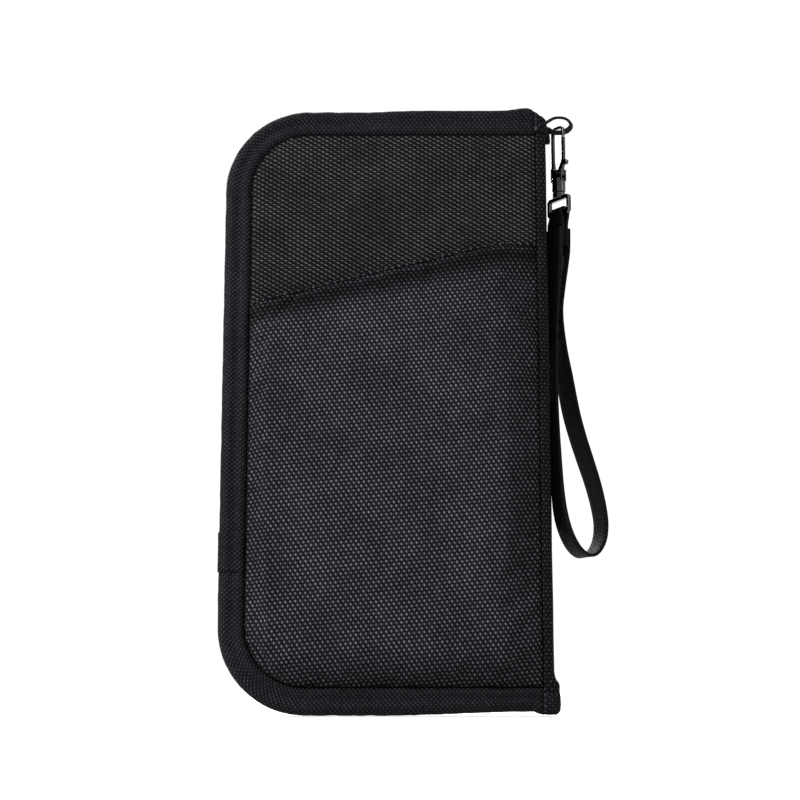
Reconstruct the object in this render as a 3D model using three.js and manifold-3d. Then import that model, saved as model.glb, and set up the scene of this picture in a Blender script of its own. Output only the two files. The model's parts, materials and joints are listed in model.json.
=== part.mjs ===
// Travel document organizer: two padded covers joined by a soft spine, closed by a
// zip that runs round three sides, with a slanted front pocket and a clip-on wrist strap.
// Millimetres, +Z up along the spine, +X towards the spine, front pocket facing -Y.
// The origin is under the middle of the bottom edge.

import * as THREE from "three";
import { mergeVertices } from "three/addons/utils/BufferGeometryUtils.js";
import Module from "manifold-3d";

const wasm = await Module();
wasm.setup();

// ---------------------------------------------------------------- driving dimensions

const height = 235;
const overallWidth = 128; // zip side to the folded zip end at the spine
const spineInset = 2; // the folded zip end stands this proud of the spine
const cornerRadius = 33; // the two corners on the zip side
const halfBody = 11.4; // zip plane to a cover's outer face
const touchGap = 0.3; // kept between pieces that touch
const cornerSteps = 10; // facets in each rounded corner

const clothThickness = 1;
const boardThickness = 2.8;
const liningThickness = 0.6;
const edgeBand = 10.4; // width of the edge strip on a cover's face
const lipHalfGap = 4.8; // zip plane to the edge strip's lip
const lipDepth = 4.1; // how far the lip reaches in from the outer edge
const seamInset = 4; // spine face to the seam where the stiff cover ends

const pocketRise = 4.6; // room between the front cover and the slanted pocket
const webbingWidth = 10;
const webbingThickness = 1.2;

// ---------------------------------------------------------------- derived positions

const zipSideX = -overallWidth / 2;
const spineFaceX = overallWidth / 2 - spineInset;
const seamX = spineFaceX - seamInset;
const pocketFace = halfBody + pocketRise + clothThickness - touchGap;
const zipPlaneY = (pocketFace - halfBody) / 2;

const boardTop = halfBody - clothThickness - touchGap;
const boardBottom = boardTop - boardThickness;
const liningTop = boardBottom - touchGap;
const liningBottom = liningTop - liningThickness;

// Depths below the outer edge, used all round the three zipped sides.
const coil = { outer: -4, inner: -6, near: 0.75, far: 2.95 };
const tape = { outer: -4.6, inner: -5.3, near: coil.far + touchGap, far: liningBottom };

// ---------------------------------------------------------------- geometry helpers

const vec = (x, y, z) => new THREE.Vector3(x, y, z);
const flat = (a, b) => new THREE.Vector2(a, b);
const radians = THREE.MathUtils.degToRad;

// Turns faces outward when a section was listed the other way round.
function faceOutward(geometry) {
  const p = geometry.getAttribute("position");
  const index = geometry.index;
  const [a, b, c] = [vec(), vec(), vec()];
  let volume = 0;
  for (let i = 0; i < index.count; i += 3) {
    a.fromBufferAttribute(p, index.getX(i));
    b.fromBufferAttribute(p, index.getX(i + 1));
    c.fromBufferAttribute(p, index.getX(i + 2));
    volume += a.dot(b.cross(c));
  }
  if (volume < 0) {
    for (let i = 0; i < index.count; i += 3) {
      const second = index.getX(i + 1);
      index.setX(i + 1, index.getX(i + 2));
      index.setX(i + 2, second);
    }
  }
  return geometry;
}

// Carries a flat section through a list of frames: each frame has an origin and the two
// directions that the section's first and second coordinates run in.
function sweep(corners, frames) {
  const section = THREE.ShapeUtils.isClockWise(corners) ? [...corners].reverse() : corners;
  const points = [];
  for (const { origin, first, second } of frames) {
    for (const { x, y } of section) {
      points.push(origin.clone().addScaledVector(first, x).addScaledVector(second, y));
    }
  }
  const count = section.length;
  const index = [];
  for (let ring = 0; ring + 1 < frames.length; ring += 1) {
    for (let i = 0; i < count; i += 1) {
      const a = ring * count + i;
      const b = ring * count + ((i + 1) % count);
      index.push(a, b, b + count, a, b + count, a + count);
    }
  }
  const last = (frames.length - 1) * count;
  for (const [a, b, c] of THREE.ShapeUtils.triangulateShape(section, [])) {
    index.push(a, c, b, last + a, last + b, last + c);
  }
  const geometry = new THREE.BufferGeometry().setFromPoints(points);
  geometry.setIndex(index);
  return faceOutward(geometry);
}

// A shape drawn in X and Z, made solid between two depths.
function plate(shape, nearY, farY) {
  const low = Math.min(nearY, farY);
  const high = Math.max(nearY, farY);
  const options = { depth: high - low, bevelEnabled: false, curveSegments: cornerSteps };
  const geometry = new THREE.ExtrudeGeometry(shape, options);
  geometry.rotateX(Math.PI / 2);
  geometry.translate(0, high, 0);
  return geometry;
}

// A shape drawn in X and Y, made solid between two heights.
function slab(shape, lowZ, highZ) {
  const options = { depth: highZ - lowZ, bevelEnabled: false, curveSegments: cornerSteps };
  return new THREE.ExtrudeGeometry(shape, options).translate(0, 0, lowZ);
}

function box(low, high) {
  const size = high.clone().sub(low);
  const middle = low.clone().add(high).multiplyScalar(0.5);
  const geometry = new THREE.BoxGeometry(size.x, size.y, size.z);
  return geometry.translate(middle.x, middle.y, middle.z);
}

// A cylinder standing along Z between two heights.
function rod(radius, lowZ, highZ, sides = 20) {
  const geometry = new THREE.CylinderGeometry(radius, radius, highZ - lowZ, sides);
  geometry.rotateX(Math.PI / 2);
  return geometry.translate(0, 0, (lowZ + highZ) / 2);
}

// A cylinder lying along Y, centred on the X-Z plane.
function crossRod(radius, length, x, z, sides = 16) {
  const geometry = new THREE.CylinderGeometry(radius, radius, length, sides);
  return geometry.translate(x, 0, z);
}

function toSolid(geometry) {
  const bare = geometry.clone();
  bare.deleteAttribute("normal");
  bare.deleteAttribute("uv");
  const merged = mergeVertices(bare, 1e-4);
  return new wasm.Manifold(
    new wasm.Mesh({
      numProp: 3,
      vertProperties: merged.attributes.position.array,
      triVerts: new Uint32Array(merged.index.array),
    }),
  );
}

function toGeometry(solid) {
  const { vertProperties, triVerts } = solid.getMesh();
  const geometry = new THREE.BufferGeometry();
  geometry.setAttribute("position", new THREE.BufferAttribute(vertProperties, 3));
  geometry.setIndex(new THREE.BufferAttribute(triVerts, 1));
  return geometry;
}

const join = (...pieces) => toGeometry(pieces.map(toSolid).reduce((a, b) => a.add(b)));
const cut = (piece, ...tools) =>
  toGeometry(tools.map(toSolid).reduce((rest, tool) => rest.subtract(tool), toSolid(piece)));
const overlapOf = (a, b) => toGeometry(toSolid(a).intersect(toSolid(b)));

// ---------------------------------------------------------------- the covers' outline

// A cover's outline, inset from its outer edge, ending at rightX on the spine side.
function coverShape(inset, rightX) {
  const left = zipSideX + inset;
  const radius = cornerRadius - inset;
  const shape = new THREE.Shape();
  shape.moveTo(rightX, inset);
  shape.lineTo(rightX, height - inset);
  shape.lineTo(left + radius, height - inset);
  shape.absarc(left + radius, height - inset - radius, radius, Math.PI / 2, Math.PI, false);
  shape.absarc(left + radius, inset + radius, radius, Math.PI, Math.PI * 1.5, false);
  shape.closePath();
  return shape;
}

// Frames round the three zipped sides, from the spine's top to its bottom. The first
// direction points outward from the edge and the second along +Y.
function edgeFrames(topEndX, bottomEndX) {
  const centreX = zipSideX + cornerRadius;
  const frameAt = (x, z, angle) => ({
    origin: vec(x, 0, z),
    first: vec(Math.cos(angle), 0, Math.sin(angle)),
    second: vec(0, 1, 0),
  });
  const corner = (centreZ, startAngle) =>
    Array.from({ length: cornerSteps + 1 }, (_, i) => {
      const angle = startAngle + (Math.PI / 2) * (i / cornerSteps);
      const x = centreX + cornerRadius * Math.cos(angle);
      return frameAt(x, centreZ + cornerRadius * Math.sin(angle), angle);
    });
  return [
    frameAt(topEndX, height, Math.PI / 2),
    ...corner(height - cornerRadius, Math.PI / 2),
    ...corner(cornerRadius, Math.PI),
    frameAt(bottomEndX, 0, Math.PI * 1.5),
  ];
}

// ---------------------------------------------------------------- materials

function finish(color, roughness, metalness = 0) {
  return new THREE.MeshStandardMaterial({ color, roughness, metalness });
}

const ballisticNylon = finish(0x2a2a2e, 0.75);
const edgeNylon = finish(0x232326, 0.8);
const liningCloth = finish(0x2c2c31, 0.85);
const foamBoard = finish(0x3a3a3a, 0.9);
const zipTapeCloth = finish(0x1b1b1d, 0.85);
const zipCoilPlastic = finish(0x18181a, 0.5);
const webbing = finish(0x141416, 0.8);
const gunmetal = finish(0x55575c, 0.25, 1);
const blackMetal = finish(0x1d1d20, 0.4, 1);

const organizer = new THREE.Group();
organizer.position.y = zipPlaneY;

function add(name, geometry, material, group = organizer) {
  const mesh = new THREE.Mesh(geometry, material);
  mesh.name = name;
  group.add(mesh);
}

// ---------------------------------------------------------------- covers

const faceInset = edgeBand + touchGap;
const zipTopEndX = seamX - 5;
const zipBottomEndX = seamX - 2;

// The edge strip's section: across its width from the face, round the outer edge and
// in to the zip. The first number is the distance outward, the second the depth.
function edgeStripSection(side) {
  const inner = -edgeBand;
  const corners = [
    [inner, boardBottom],
    [inner, halfBody - 0.8],
    [inner + 1, halfBody - 0.2],
    [-4.4, halfBody],
    [-2, halfBody - 0.6],
    [-0.6, halfBody - 2],
    [0, halfBody - 3.8],
    [0, lipHalfGap + 1],
    [-0.8, lipHalfGap],
    [-lipDepth, lipHalfGap],
    [-lipDepth, boardBottom],
  ];
  return corners.map(([out, depth]) => flat(out, side * depth));
}

function rectangleSection(outer, inner, near, far, side) {
  return [
    flat(outer, side * near),
    flat(outer, side * far),
    flat(inner, side * far),
    flat(inner, side * near),
  ];
}

// One cover: side is +1 for the back and -1 for the front.
function addCover(prefix, side) {
  const faceShape = coverShape(faceInset, seamX);
  const panel = plate(faceShape, side * (halfBody - clothThickness), side * halfBody);
  add(`${prefix}_panel`, panel, ballisticNylon);
  add(`${prefix}_board`, plate(faceShape, side * boardBottom, side * boardTop), foamBoard);
  const liningShape = coverShape(-tape.inner + touchGap, seamX + 1);
  const lining = plate(liningShape, side * liningBottom, side * liningTop);
  add(`${prefix}_lining`, lining, liningCloth);

  const edge = sweep(edgeStripSection(side), edgeFrames(seamX, seamX));
  add(`${prefix}_edge_strip`, edge, edgeNylon);

  const along = edgeFrames(zipTopEndX, zipBottomEndX);
  const tapeSection = rectangleSection(tape.outer, tape.inner, tape.near, tape.far, side);
  add(`${prefix}_zip_tape`, sweep(tapeSection, along), zipTapeCloth);
  const coilSection = rectangleSection(coil.outer, coil.inner, coil.near, coil.far, side);
  add(`${prefix}_zip_coil`, sweep(coilSection, along), zipCoilPlastic);

  const stopLow = vec(zipTopEndX + touchGap, side * coil.near, height + coil.inner);
  const stopHigh = vec(zipTopEndX + 1.8, side * coil.far, height + coil.outer);
  const stop = box(
    vec(stopLow.x, Math.min(stopLow.y, stopHigh.y), stopLow.z),
    vec(stopHigh.x, Math.max(stopLow.y, stopHigh.y), stopHigh.z),
  );
  add(`${prefix}_zip_stop`, stop, blackMetal);
}

// ---------------------------------------------------------------- slanted front pocket

// A puffed shell, open along its slanted mouth. It is widest where it is sewn down and
// narrows towards its face.
function puffedBlock(inset, nearY, farY, taper) {
  const left = zipSideX + faceInset + inset;
  const right = seamX - 0.6 - inset;
  const bottom = faceInset + inset;
  const radius = cornerRadius - faceInset - inset;
  const top = height - faceInset;
  const shape = new THREE.Shape();
  shape.moveTo(right, bottom);
  shape.lineTo(right, top);
  shape.lineTo(left, top);
  shape.lineTo(left, bottom + radius);
  shape.absarc(left + radius, bottom + radius, radius, Math.PI, Math.PI * 1.5, false);
  shape.closePath();
  const geometry = plate(shape, nearY, farY);
  const p = geometry.getAttribute("position");
  const midX = (left + right) / 2;
  const halfWidth = (right - left) / 2;
  for (let i = 0; i < p.count; i += 1) {
    const towardsFace = (p.getY(i) - nearY) / (farY - nearY);
    const x = midX + (p.getX(i) - midX) * (1 - (taper * towardsFace) / halfWidth);
    p.setX(i, x);
    p.setZ(i, p.getZ(i) + (taper * towardsFace * (top - p.getZ(i))) / (top - bottom));
  }
  return geometry;
}

function addFrontPocket() {
  const baseY = -(halfBody + touchGap);
  const faceY = -pocketFace;
  const mouthLeftZ = 152.8;
  const mouthRightZ = 180;
  const mouthSlope = 0.252; // the straight run's rise, up to where it levels off
  const levelX = 34;
  const belowMouth = new THREE.Shape();
  belowMouth.moveTo(zipSideX, 0);
  belowMouth.lineTo(spineFaceX, 0);
  belowMouth.lineTo(spineFaceX, mouthRightZ);
  belowMouth.lineTo(levelX + 16, mouthRightZ);
  const bendZ = mouthLeftZ + mouthSlope * (levelX - zipSideX);
  belowMouth.quadraticCurveTo(levelX + 8, mouthRightZ - 0.2, levelX, bendZ);
  belowMouth.lineTo(zipSideX, mouthLeftZ);
  belowMouth.closePath();

  const sideWall = 1.2;
  const outerTaper = 7;
  const innerTaper = 6.4;
  const outer = puffedBlock(0, baseY, faceY, outerTaper);
  const hollow = puffedBlock(sideWall, baseY + 1, faceY + clothThickness, innerTaper);
  const shell = overlapOf(cut(outer, hollow), plate(belowMouth, baseY + 1, faceY - 1));
  add("slash_pocket", shell, ballisticNylon);
}

// ---------------------------------------------------------------- inside, back cover

function slipPocketShape(left, right, bottom, top, radius) {
  const shape = new THREE.Shape();
  shape.moveTo(right, bottom);
  shape.lineTo(right, top);
  shape.lineTo(left, top);
  shape.lineTo(left, bottom + radius);
  shape.absarc(left + radius, bottom + radius, radius, Math.PI, Math.PI * 1.5, false);
  shape.closePath();
  return shape;
}

const insideLeft = zipSideX + 10.5;
const insideRight = seamX - 1.5;
const insideBottom = 10.5;
const insideRadius = cornerRadius - insideBottom;
const sheetThickness = 0.6;
const sheetPitch = sheetThickness + touchGap;

function addBackPockets() {
  const ticketTop = 168;
  const passportTop = 112;
  const firstNear = liningBottom - touchGap;
  const ticket = slipPocketShape(insideLeft, insideRight, insideBottom, ticketTop, insideRadius);
  add("ticket_pocket", plate(ticket, firstNear - sheetThickness, firstNear), liningCloth);
  const secondNear = firstNear - sheetPitch;
  const passport = slipPocketShape(
    insideLeft, insideRight, insideBottom, passportTop, insideRadius,
  );
  add("passport_pocket", plate(passport, secondNear - sheetThickness, secondNear), liningCloth);
}

// An elastic sleeve for a pen, sewn to the lining beside the spine.
function addPenLoop() {
  const wall = 0.8;
  const sleeveHeight = 20;
  const lowZ = 182;
  const nearY = liningBottom - touchGap;
  const halfWidth = 5;
  const depth = 10;
  const centreX = seamX - 9;
  const section = new THREE.Shape();
  section.moveTo(-halfWidth, 0);
  section.lineTo(halfWidth, 0);
  section.lineTo(halfWidth, -depth + halfWidth);
  section.absarc(0, -depth + halfWidth, halfWidth, 0, -Math.PI, true);
  section.closePath();
  const bore = new THREE.Shape();
  const boreRadius = halfWidth - wall;
  bore.moveTo(-boreRadius, -wall);
  bore.lineTo(boreRadius, -wall);
  bore.lineTo(boreRadius, -depth + halfWidth);
  bore.absarc(0, -depth + halfWidth, boreRadius, 0, -Math.PI, true);
  bore.closePath();
  const sleeve = cut(slab(section, 0, sleeveHeight), slab(bore, -1, sleeveHeight + 1));
  add("pen_loop", sleeve.translate(centreX, nearY, lowZ), zipTapeCloth);
}

// ---------------------------------------------------------------- inside, front cover

// Four stepped card slots: the rearmost is the tallest.
function addCardSlots() {
  const lowestTop = 62;
  const step = 18;
  const slots = 4;
  for (let i = 0; i < slots; i += 1) {
    const near = -(liningBottom - touchGap - i * sheetPitch);
    const top = lowestTop + step * (slots - 1 - i);
    const shape = slipPocketShape(insideLeft, insideRight, insideBottom, top, insideRadius);
    add(`card_slot_${i + 1}`, plate(shape, near, near + sheetThickness), liningCloth);
  }
}

const coinZipZ = 190;
const coinZip = { leftX: -44, rightX: 42, baseY: -(liningBottom - touchGap) };
const coinCoilHalfGap = 0.5;
const coinCoilHeight = 1.6;
const coinTapeHeight = 5;
const coinCoilLift = 0.9; // the coil rows stand this far off the lining
const coinCoilDepth = 1.4;

// A zipped coin pocket above the card slots: its cloth, two tapes and two coil rows.
function addCoinPocket() {
  const { leftX, rightX, baseY } = coinZip;
  const clothBottom = 126;
  const clothTop = coinZipZ - coinCoilHalfGap - coinCoilHeight - coinTapeHeight - 2 * touchGap;
  const clothDepth = 1.6;
  const tapeDepth = 0.8;
  const clothLow = vec(insideLeft, baseY, clothBottom);
  const cloth = box(clothLow, vec(insideRight, baseY + clothDepth, clothTop));
  add("coin_pocket", cloth, liningCloth);
  for (const [name, side] of [["upper", 1], ["lower", -1]]) {
    const spread = (near, tall, thick) => {
      const edges = [coinZipZ + side * near, coinZipZ + side * (near + tall)];
      const low = vec(leftX, baseY, Math.min(...edges));
      return box(low, vec(rightX, baseY + thick, Math.max(...edges)));
    };
    const coilRow = spread(coinCoilHalfGap, coinCoilHeight, coinCoilDepth);
    coilRow.translate(0, coinCoilLift, 0);
    add(`coin_zip_coil_${name}`, coilRow, zipCoilPlastic);
    const tapeNear = coinCoilHalfGap + coinCoilHeight + touchGap;
    add(`coin_zip_tape_${name}`, spread(tapeNear, coinTapeHeight, tapeDepth), zipTapeCloth);
  }
}

// ---------------------------------------------------------------- spine

function addSpine() {
  const panelThickness = 1.7;
  const panelBottom = 3;
  const panelTop = height - 4;
  const clothHalf = halfBody - clothThickness - 0.2;
  const panelLow = vec(spineFaceX - panelThickness, -clothHalf, panelBottom);
  add("spine_panel", box(panelLow, vec(spineFaceX, clothHalf, panelTop)), edgeNylon);
  const liningMargin = 5; // the lining stops this far short of the panel's ends
  const liningHalf = clothHalf - 0.8;
  const liningX = panelLow.x - touchGap;
  const liningLow = vec(liningX - liningThickness, -liningHalf, panelBottom + liningMargin);
  const liningHigh = vec(liningX, liningHalf, panelTop - liningMargin);
  add("spine_lining", box(liningLow, liningHigh), liningCloth);

  // The zip's two ends are folded under and bound at the spine's corners.
  const halfWidth = lipHalfGap - 0.4;
  const tabX = zipTopEndX + 2.2;
  const topLow = panelTop + 0.4;
  const topEnd = box(vec(tabX, -halfWidth, topLow), vec(spineFaceX, halfWidth, height));
  add("zip_end_top", topEnd, edgeNylon);
  const proudX = overallWidth / 2;
  const wrapTop = 13;
  const floorTop = panelBottom - touchGap;
  const wrap = new THREE.Shape();
  wrap.moveTo(seamX + touchGap, 0);
  wrap.lineTo(proudX - 1.2, 0);
  wrap.lineTo(proudX, 1.4);
  wrap.lineTo(proudX, wrapTop - 1.5);
  wrap.lineTo(proudX - 0.9, wrapTop);
  wrap.lineTo(spineFaceX + touchGap, wrapTop);
  wrap.lineTo(spineFaceX + touchGap, floorTop);
  wrap.lineTo(seamX + touchGap, floorTop);
  wrap.closePath();
  add("zip_end_bottom", plate(wrap, -halfWidth * 1.9, halfWidth * 1.9), edgeNylon);
}

// ---------------------------------------------------------------- main zip slider

// Built around its own middle: X along the zip, Y across it, Z outward from the coils.
const sliderX = seamX - 13;

function addMainSlider() {
  const place = new THREE.Group();
  place.position.set(sliderX, 0, height);
  organizer.add(place);

  const halfLength = 4.5;
  const halfWidth = 4.2;
  const clear = 0.4;
  const plateThickness = 1.1;
  const wing = new THREE.Shape();
  wing.moveTo(-halfLength, -halfWidth * 0.62);
  wing.lineTo(-halfLength * 0.3, -halfWidth);
  wing.lineTo(halfLength, -halfWidth * 0.85);
  wing.lineTo(halfLength, halfWidth * 0.85);
  wing.lineTo(-halfLength * 0.3, halfWidth);
  wing.lineTo(-halfLength, halfWidth * 0.62);
  wing.closePath();
  const plateAt = (lowZ) => slab(wing, lowZ, lowZ + plateThickness);
  const outerLow = coil.outer + clear;
  const outerHigh = outerLow + plateThickness;
  const innerLow = coil.inner - clear - plateThickness;
  const post = box(vec(1.2, -0.45, innerLow + 0.5), vec(halfLength - 0.4, 0.45, outerHigh - 0.3));
  const footLow = outerHigh - 0.3;
  const bridgeTop = -0.4;
  const foot = (x) => box(vec(x - 0.5, -0.8, footLow), vec(x + 0.5, 0.8, bridgeTop));
  const bar = box(vec(-3.4, -0.8, bridgeTop - 0.7), vec(2.6, 0.8, bridgeTop));
  const slider = join(plateAt(outerLow), plateAt(innerLow), post, foot(-2.9), foot(2.1), bar);
  add("zip_slider", slider, blackMetal, place);

  // The pull's eye hangs round the bridge's left foot and the tab lies along the zip.
  const pull = new THREE.Shape();
  const half = 2.9;
  pull.moveTo(-1.1, -2.2);
  pull.lineTo(-1.1, 2.2);
  pull.lineTo(-6, half);
  pull.lineTo(-23, half);
  pull.absarc(-23, 0, half, Math.PI / 2, Math.PI * 1.5, false);
  pull.lineTo(-6, -half);
  pull.closePath();
  const eye = box(vec(-4.9, -1.3, -5), vec(-1.9, 1.3, 5));
  const pullLow = outerHigh + touchGap;
  add("zip_pull", cut(slab(pull, pullLow, pullLow + 0.7), eye), blackMetal, place);
}

// The coin pocket's slider is the same idea at two thirds of the size, facing +Y.
function addCoinSlider() {
  const place = new THREE.Group();
  place.position.set(coinZip.rightX - 6, coinZip.baseY, coinZipZ);
  organizer.add(place);
  const halfLength = 3.2;
  const halfWidth = 2.6;
  const frontNear = coinCoilLift + coinCoilDepth + touchGap;
  const plateFar = frontNear + 0.8;
  const body = box(vec(-halfLength, frontNear, -halfWidth), vec(halfLength, plateFar, halfWidth));
  const post = box(vec(0.8, 0.1, -0.25), vec(halfLength - 0.4, frontNear + 0.2, 0.25));
  add("coin_zip_slider", join(body, post), blackMetal, place);
  const pullNear = plateFar + touchGap;
  const pullLow = vec(-halfLength - 6, pullNear, -1.6);
  const pullHigh = vec(halfLength - 2.4, pullNear + 0.9, 1.6);
  add("coin_zip_pull", box(pullLow, pullHigh), blackMetal, place);
}

// ---------------------------------------------------------------- hanging loop and clasp

const hangX = spineFaceX + 5.8;
const hangZ = 226.8; // the level that the clasp's own heights are measured from
const strandRise = 2.5; // the loop's lower strand, which carries the clasp, above it
const claspTurn = -radians(50);
const ringTurn = -radians(56);

// A narrow ribbon folded into an eye and sewn to the spine's top corner.
function addHangLoop() {
  const rootX = spineFaceX + touchGap;
  const ribbon = 1.3;
  const farX = hangX + 7.2;
  const halfWidth = 0.9;
  const lowZ = hangZ + strandRise - ribbon / 2;
  const highZ = lowZ + 6;
  const outline = new THREE.Shape();
  outline.moveTo(rootX, lowZ - 4.4);
  outline.lineTo(rootX + ribbon, lowZ - 4.4);
  outline.lineTo(rootX + ribbon, lowZ);
  outline.lineTo(farX - 3, lowZ);
  outline.lineTo(farX, lowZ + 3.2);
  outline.lineTo(farX - 2, highZ - 1);
  outline.quadraticCurveTo(hangX, highZ + 1.2, rootX, highZ - 1.6);
  outline.closePath();
  const eye = new THREE.Shape();
  eye.moveTo(rootX + ribbon, lowZ + ribbon);
  eye.lineTo(farX - 3.4, lowZ + ribbon);
  eye.lineTo(farX - ribbon, lowZ + 3.2);
  eye.lineTo(farX - 2.8, highZ - 1.9);
  eye.quadraticCurveTo(hangX, highZ - 0.1, rootX + ribbon, highZ - 2.8);
  eye.closePath();
  const solid = plate(outline, -halfWidth, halfWidth);
  add("hang_loop", cut(solid, plate(eye, -2 * halfWidth, 2 * halfWidth)), edgeNylon);
}

// The clasp's frame: X across its width towards the gate, Y through its thickness, and
// Z measured from the hanging level.
const hookInner = 2.2;
const hookOuter = 3.4;
const hookTop = 4.8;
const hookHalfDepth = 0.65;
const noseZ = 0.4; // the hook's free end, which the gate closes against
const gatePivot = flat(1.2, -14.9);
const forkTop = -13.4;
const forkHalfDepth = 1.5;
const barrelBottom = -22.5;

// A thin bar bent over the strand: up from the body, across the crown and down to its nose.
function claspHook() {
  const outerRadius = 2.2;
  const innerRadius = 0.6;
  const crown = hookTop - outerRadius;
  const outerX = hookOuter - outerRadius;
  const innerX = hookInner - innerRadius;
  const innerTop = hookTop - 1.1;
  const hook = new THREE.Shape();
  hook.moveTo(hookOuter, noseZ);
  hook.lineTo(hookOuter, crown);
  hook.absarc(outerX, crown, outerRadius, 0, Math.PI / 2, false);
  hook.absarc(-outerX, crown, outerRadius, Math.PI / 2, Math.PI, false);
  hook.lineTo(-hookOuter, forkTop + 4);
  hook.quadraticCurveTo(-hookOuter, forkTop + 1, -3, forkTop - 1);
  hook.lineTo(-1.2, forkTop - 1);
  hook.quadraticCurveTo(-hookInner, forkTop + 2, -hookInner, forkTop + 5);
  hook.lineTo(-hookInner, innerTop - innerRadius);
  hook.absarc(-innerX, innerTop - innerRadius, innerRadius, Math.PI, Math.PI / 2, true);
  hook.absarc(innerX, innerTop - innerRadius, innerRadius, Math.PI / 2, 0, true);
  hook.lineTo(hookInner, noseZ);
  hook.closePath();
  return plate(hook, -hookHalfDepth, hookHalfDepth);
}

// The thicker foot that holds the gate's rivet and meets the barrel.
function claspFork() {
  const fork = new THREE.Shape();
  fork.moveTo(-3, -18.2);
  fork.lineTo(2.9, -18.2);
  fork.lineTo(2.9, forkTop);
  fork.lineTo(-1, forkTop);
  fork.lineTo(-2, forkTop + 1);
  fork.lineTo(-3, forkTop + 1);
  fork.closePath();
  return plate(fork, -forkHalfDepth, forkHalfDepth);
}

function claspGate() {
  const foot = 1.2;
  const gate = new THREE.Shape();
  gate.moveTo(gatePivot.x - foot, gatePivot.y - foot);
  gate.lineTo(gatePivot.x + foot, gatePivot.y - foot);
  gate.lineTo(2.8, -12.5);
  gate.lineTo(3.3, -11.6);
  gate.absarc(4, -10.8, 1.1, -2.2, 1.9, false);
  gate.lineTo(hookOuter, -9.2);
  gate.lineTo(hookOuter, noseZ - touchGap);
  gate.lineTo(hookInner, noseZ - touchGap);
  gate.lineTo(hookInner, -9.5);
  gate.lineTo(gatePivot.x - foot, gatePivot.y + foot);
  gate.closePath();
  const lever = plate(gate, -hookHalfDepth, hookHalfDepth);
  return cut(lever, crossRod(0.9, 4, gatePivot.x, gatePivot.y));
}

function addClasp() {
  const place = new THREE.Group();
  place.position.set(hangX, 0, hangZ);
  place.rotation.z = claspTurn;
  organizer.add(place);

  const slotHalfDepth = hookHalfDepth + touchGap;
  const gateSlot = box(vec(-0.6, -slotHalfDepth, -17.9), vec(5, slotHalfDepth, forkTop + 1.2));
  const rivetHole = crossRod(0.9, 6, gatePivot.x, gatePivot.y);
  const bore = rod(1.2, barrelBottom - 1, -19.2);
  const chamber = rod(1.9, -21.1, -19);
  const solidBody = join(claspHook(), claspFork(), rod(2.7, barrelBottom, -17, 24));
  add("clasp_body", cut(solidBody, gateSlot, rivetHole, bore, chamber), gunmetal, place);
  add("clasp_gate", claspGate(), gunmetal, place);
  add("gate_rivet", crossRod(0.6, 3, gatePivot.x, gatePivot.y), gunmetal, place);
  const leafLow = vec(-0.3, -0.6, gatePivot.y - 2.7);
  add("gate_spring", box(leafLow, vec(2.7, 0.6, gatePivot.y - 2.2)), gunmetal, place);
}

// ---------------------------------------------------------------- swivel ring and strap

const ringBarZ = -31.4; // the ring's lower bar, from the hanging strand
const ringWire = 1.6;

function addSwivelRing() {
  const place = new THREE.Group();
  place.position.set(hangX, 0, hangZ);
  place.rotation.z = ringTurn;
  organizer.add(place);
  const halfWidth = webbingWidth / 2 + 1.5;
  const topZ = -24.4;
  const lowZ = ringBarZ - ringWire / 2;
  const ring = new THREE.Shape();
  ring.moveTo(-halfWidth + 1, lowZ);
  ring.lineTo(halfWidth - 1, lowZ);
  ring.lineTo(halfWidth, lowZ + 1);
  ring.lineTo(halfWidth, topZ - 1);
  ring.lineTo(halfWidth - 1, topZ);
  ring.lineTo(-halfWidth + 1, topZ);
  ring.lineTo(-halfWidth, topZ - 1);
  ring.lineTo(-halfWidth, lowZ + 1);
  ring.closePath();
  const inside = halfWidth - 1.3;
  const window = box(vec(-inside, -3, lowZ + ringWire), vec(inside, 3, topZ - 1.6));
  const frame = cut(plate(ring, -ringWire / 2, ringWire / 2), window);
  const collar = rod(2.5, -25.2, barrelBottom - touchGap, 24);
  const stem = rod(0.9, -24, -20);
  const head = rod(1.6, -20.8, -19.4);
  add("swivel_ring", join(frame, collar, stem, head), gunmetal, place);
}

// The strap's section: first coordinate across its width, second through its thickness.
function webbingSection(width) {
  const halfWidth = width / 2;
  const half = webbingThickness / 2;
  return [
    flat(-halfWidth, -half),
    flat(halfWidth, -half),
    flat(halfWidth, half),
    flat(-halfWidth, half),
  ];
}

// Frames along a curve whose width direction is level, at a given turn about Z.
function webbingFrames(curve, steps, turnAt) {
  return Array.from({ length: steps + 1 }, (_, i) => {
    const along = i / steps;
    const turn = turnAt(along);
    const across = vec(Math.cos(turn), Math.sin(turn), 0);
    const tangent = curve.getPoint(Math.min(1, along + 1e-3));
    tangent.sub(curve.getPoint(Math.max(0, along - 1e-3)));
    tangent.addScaledVector(across, -tangent.dot(across)).normalize();
    return {
      origin: curve.getPoint(along),
      first: across,
      second: tangent.clone().cross(across),
    };
  });
}

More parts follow.
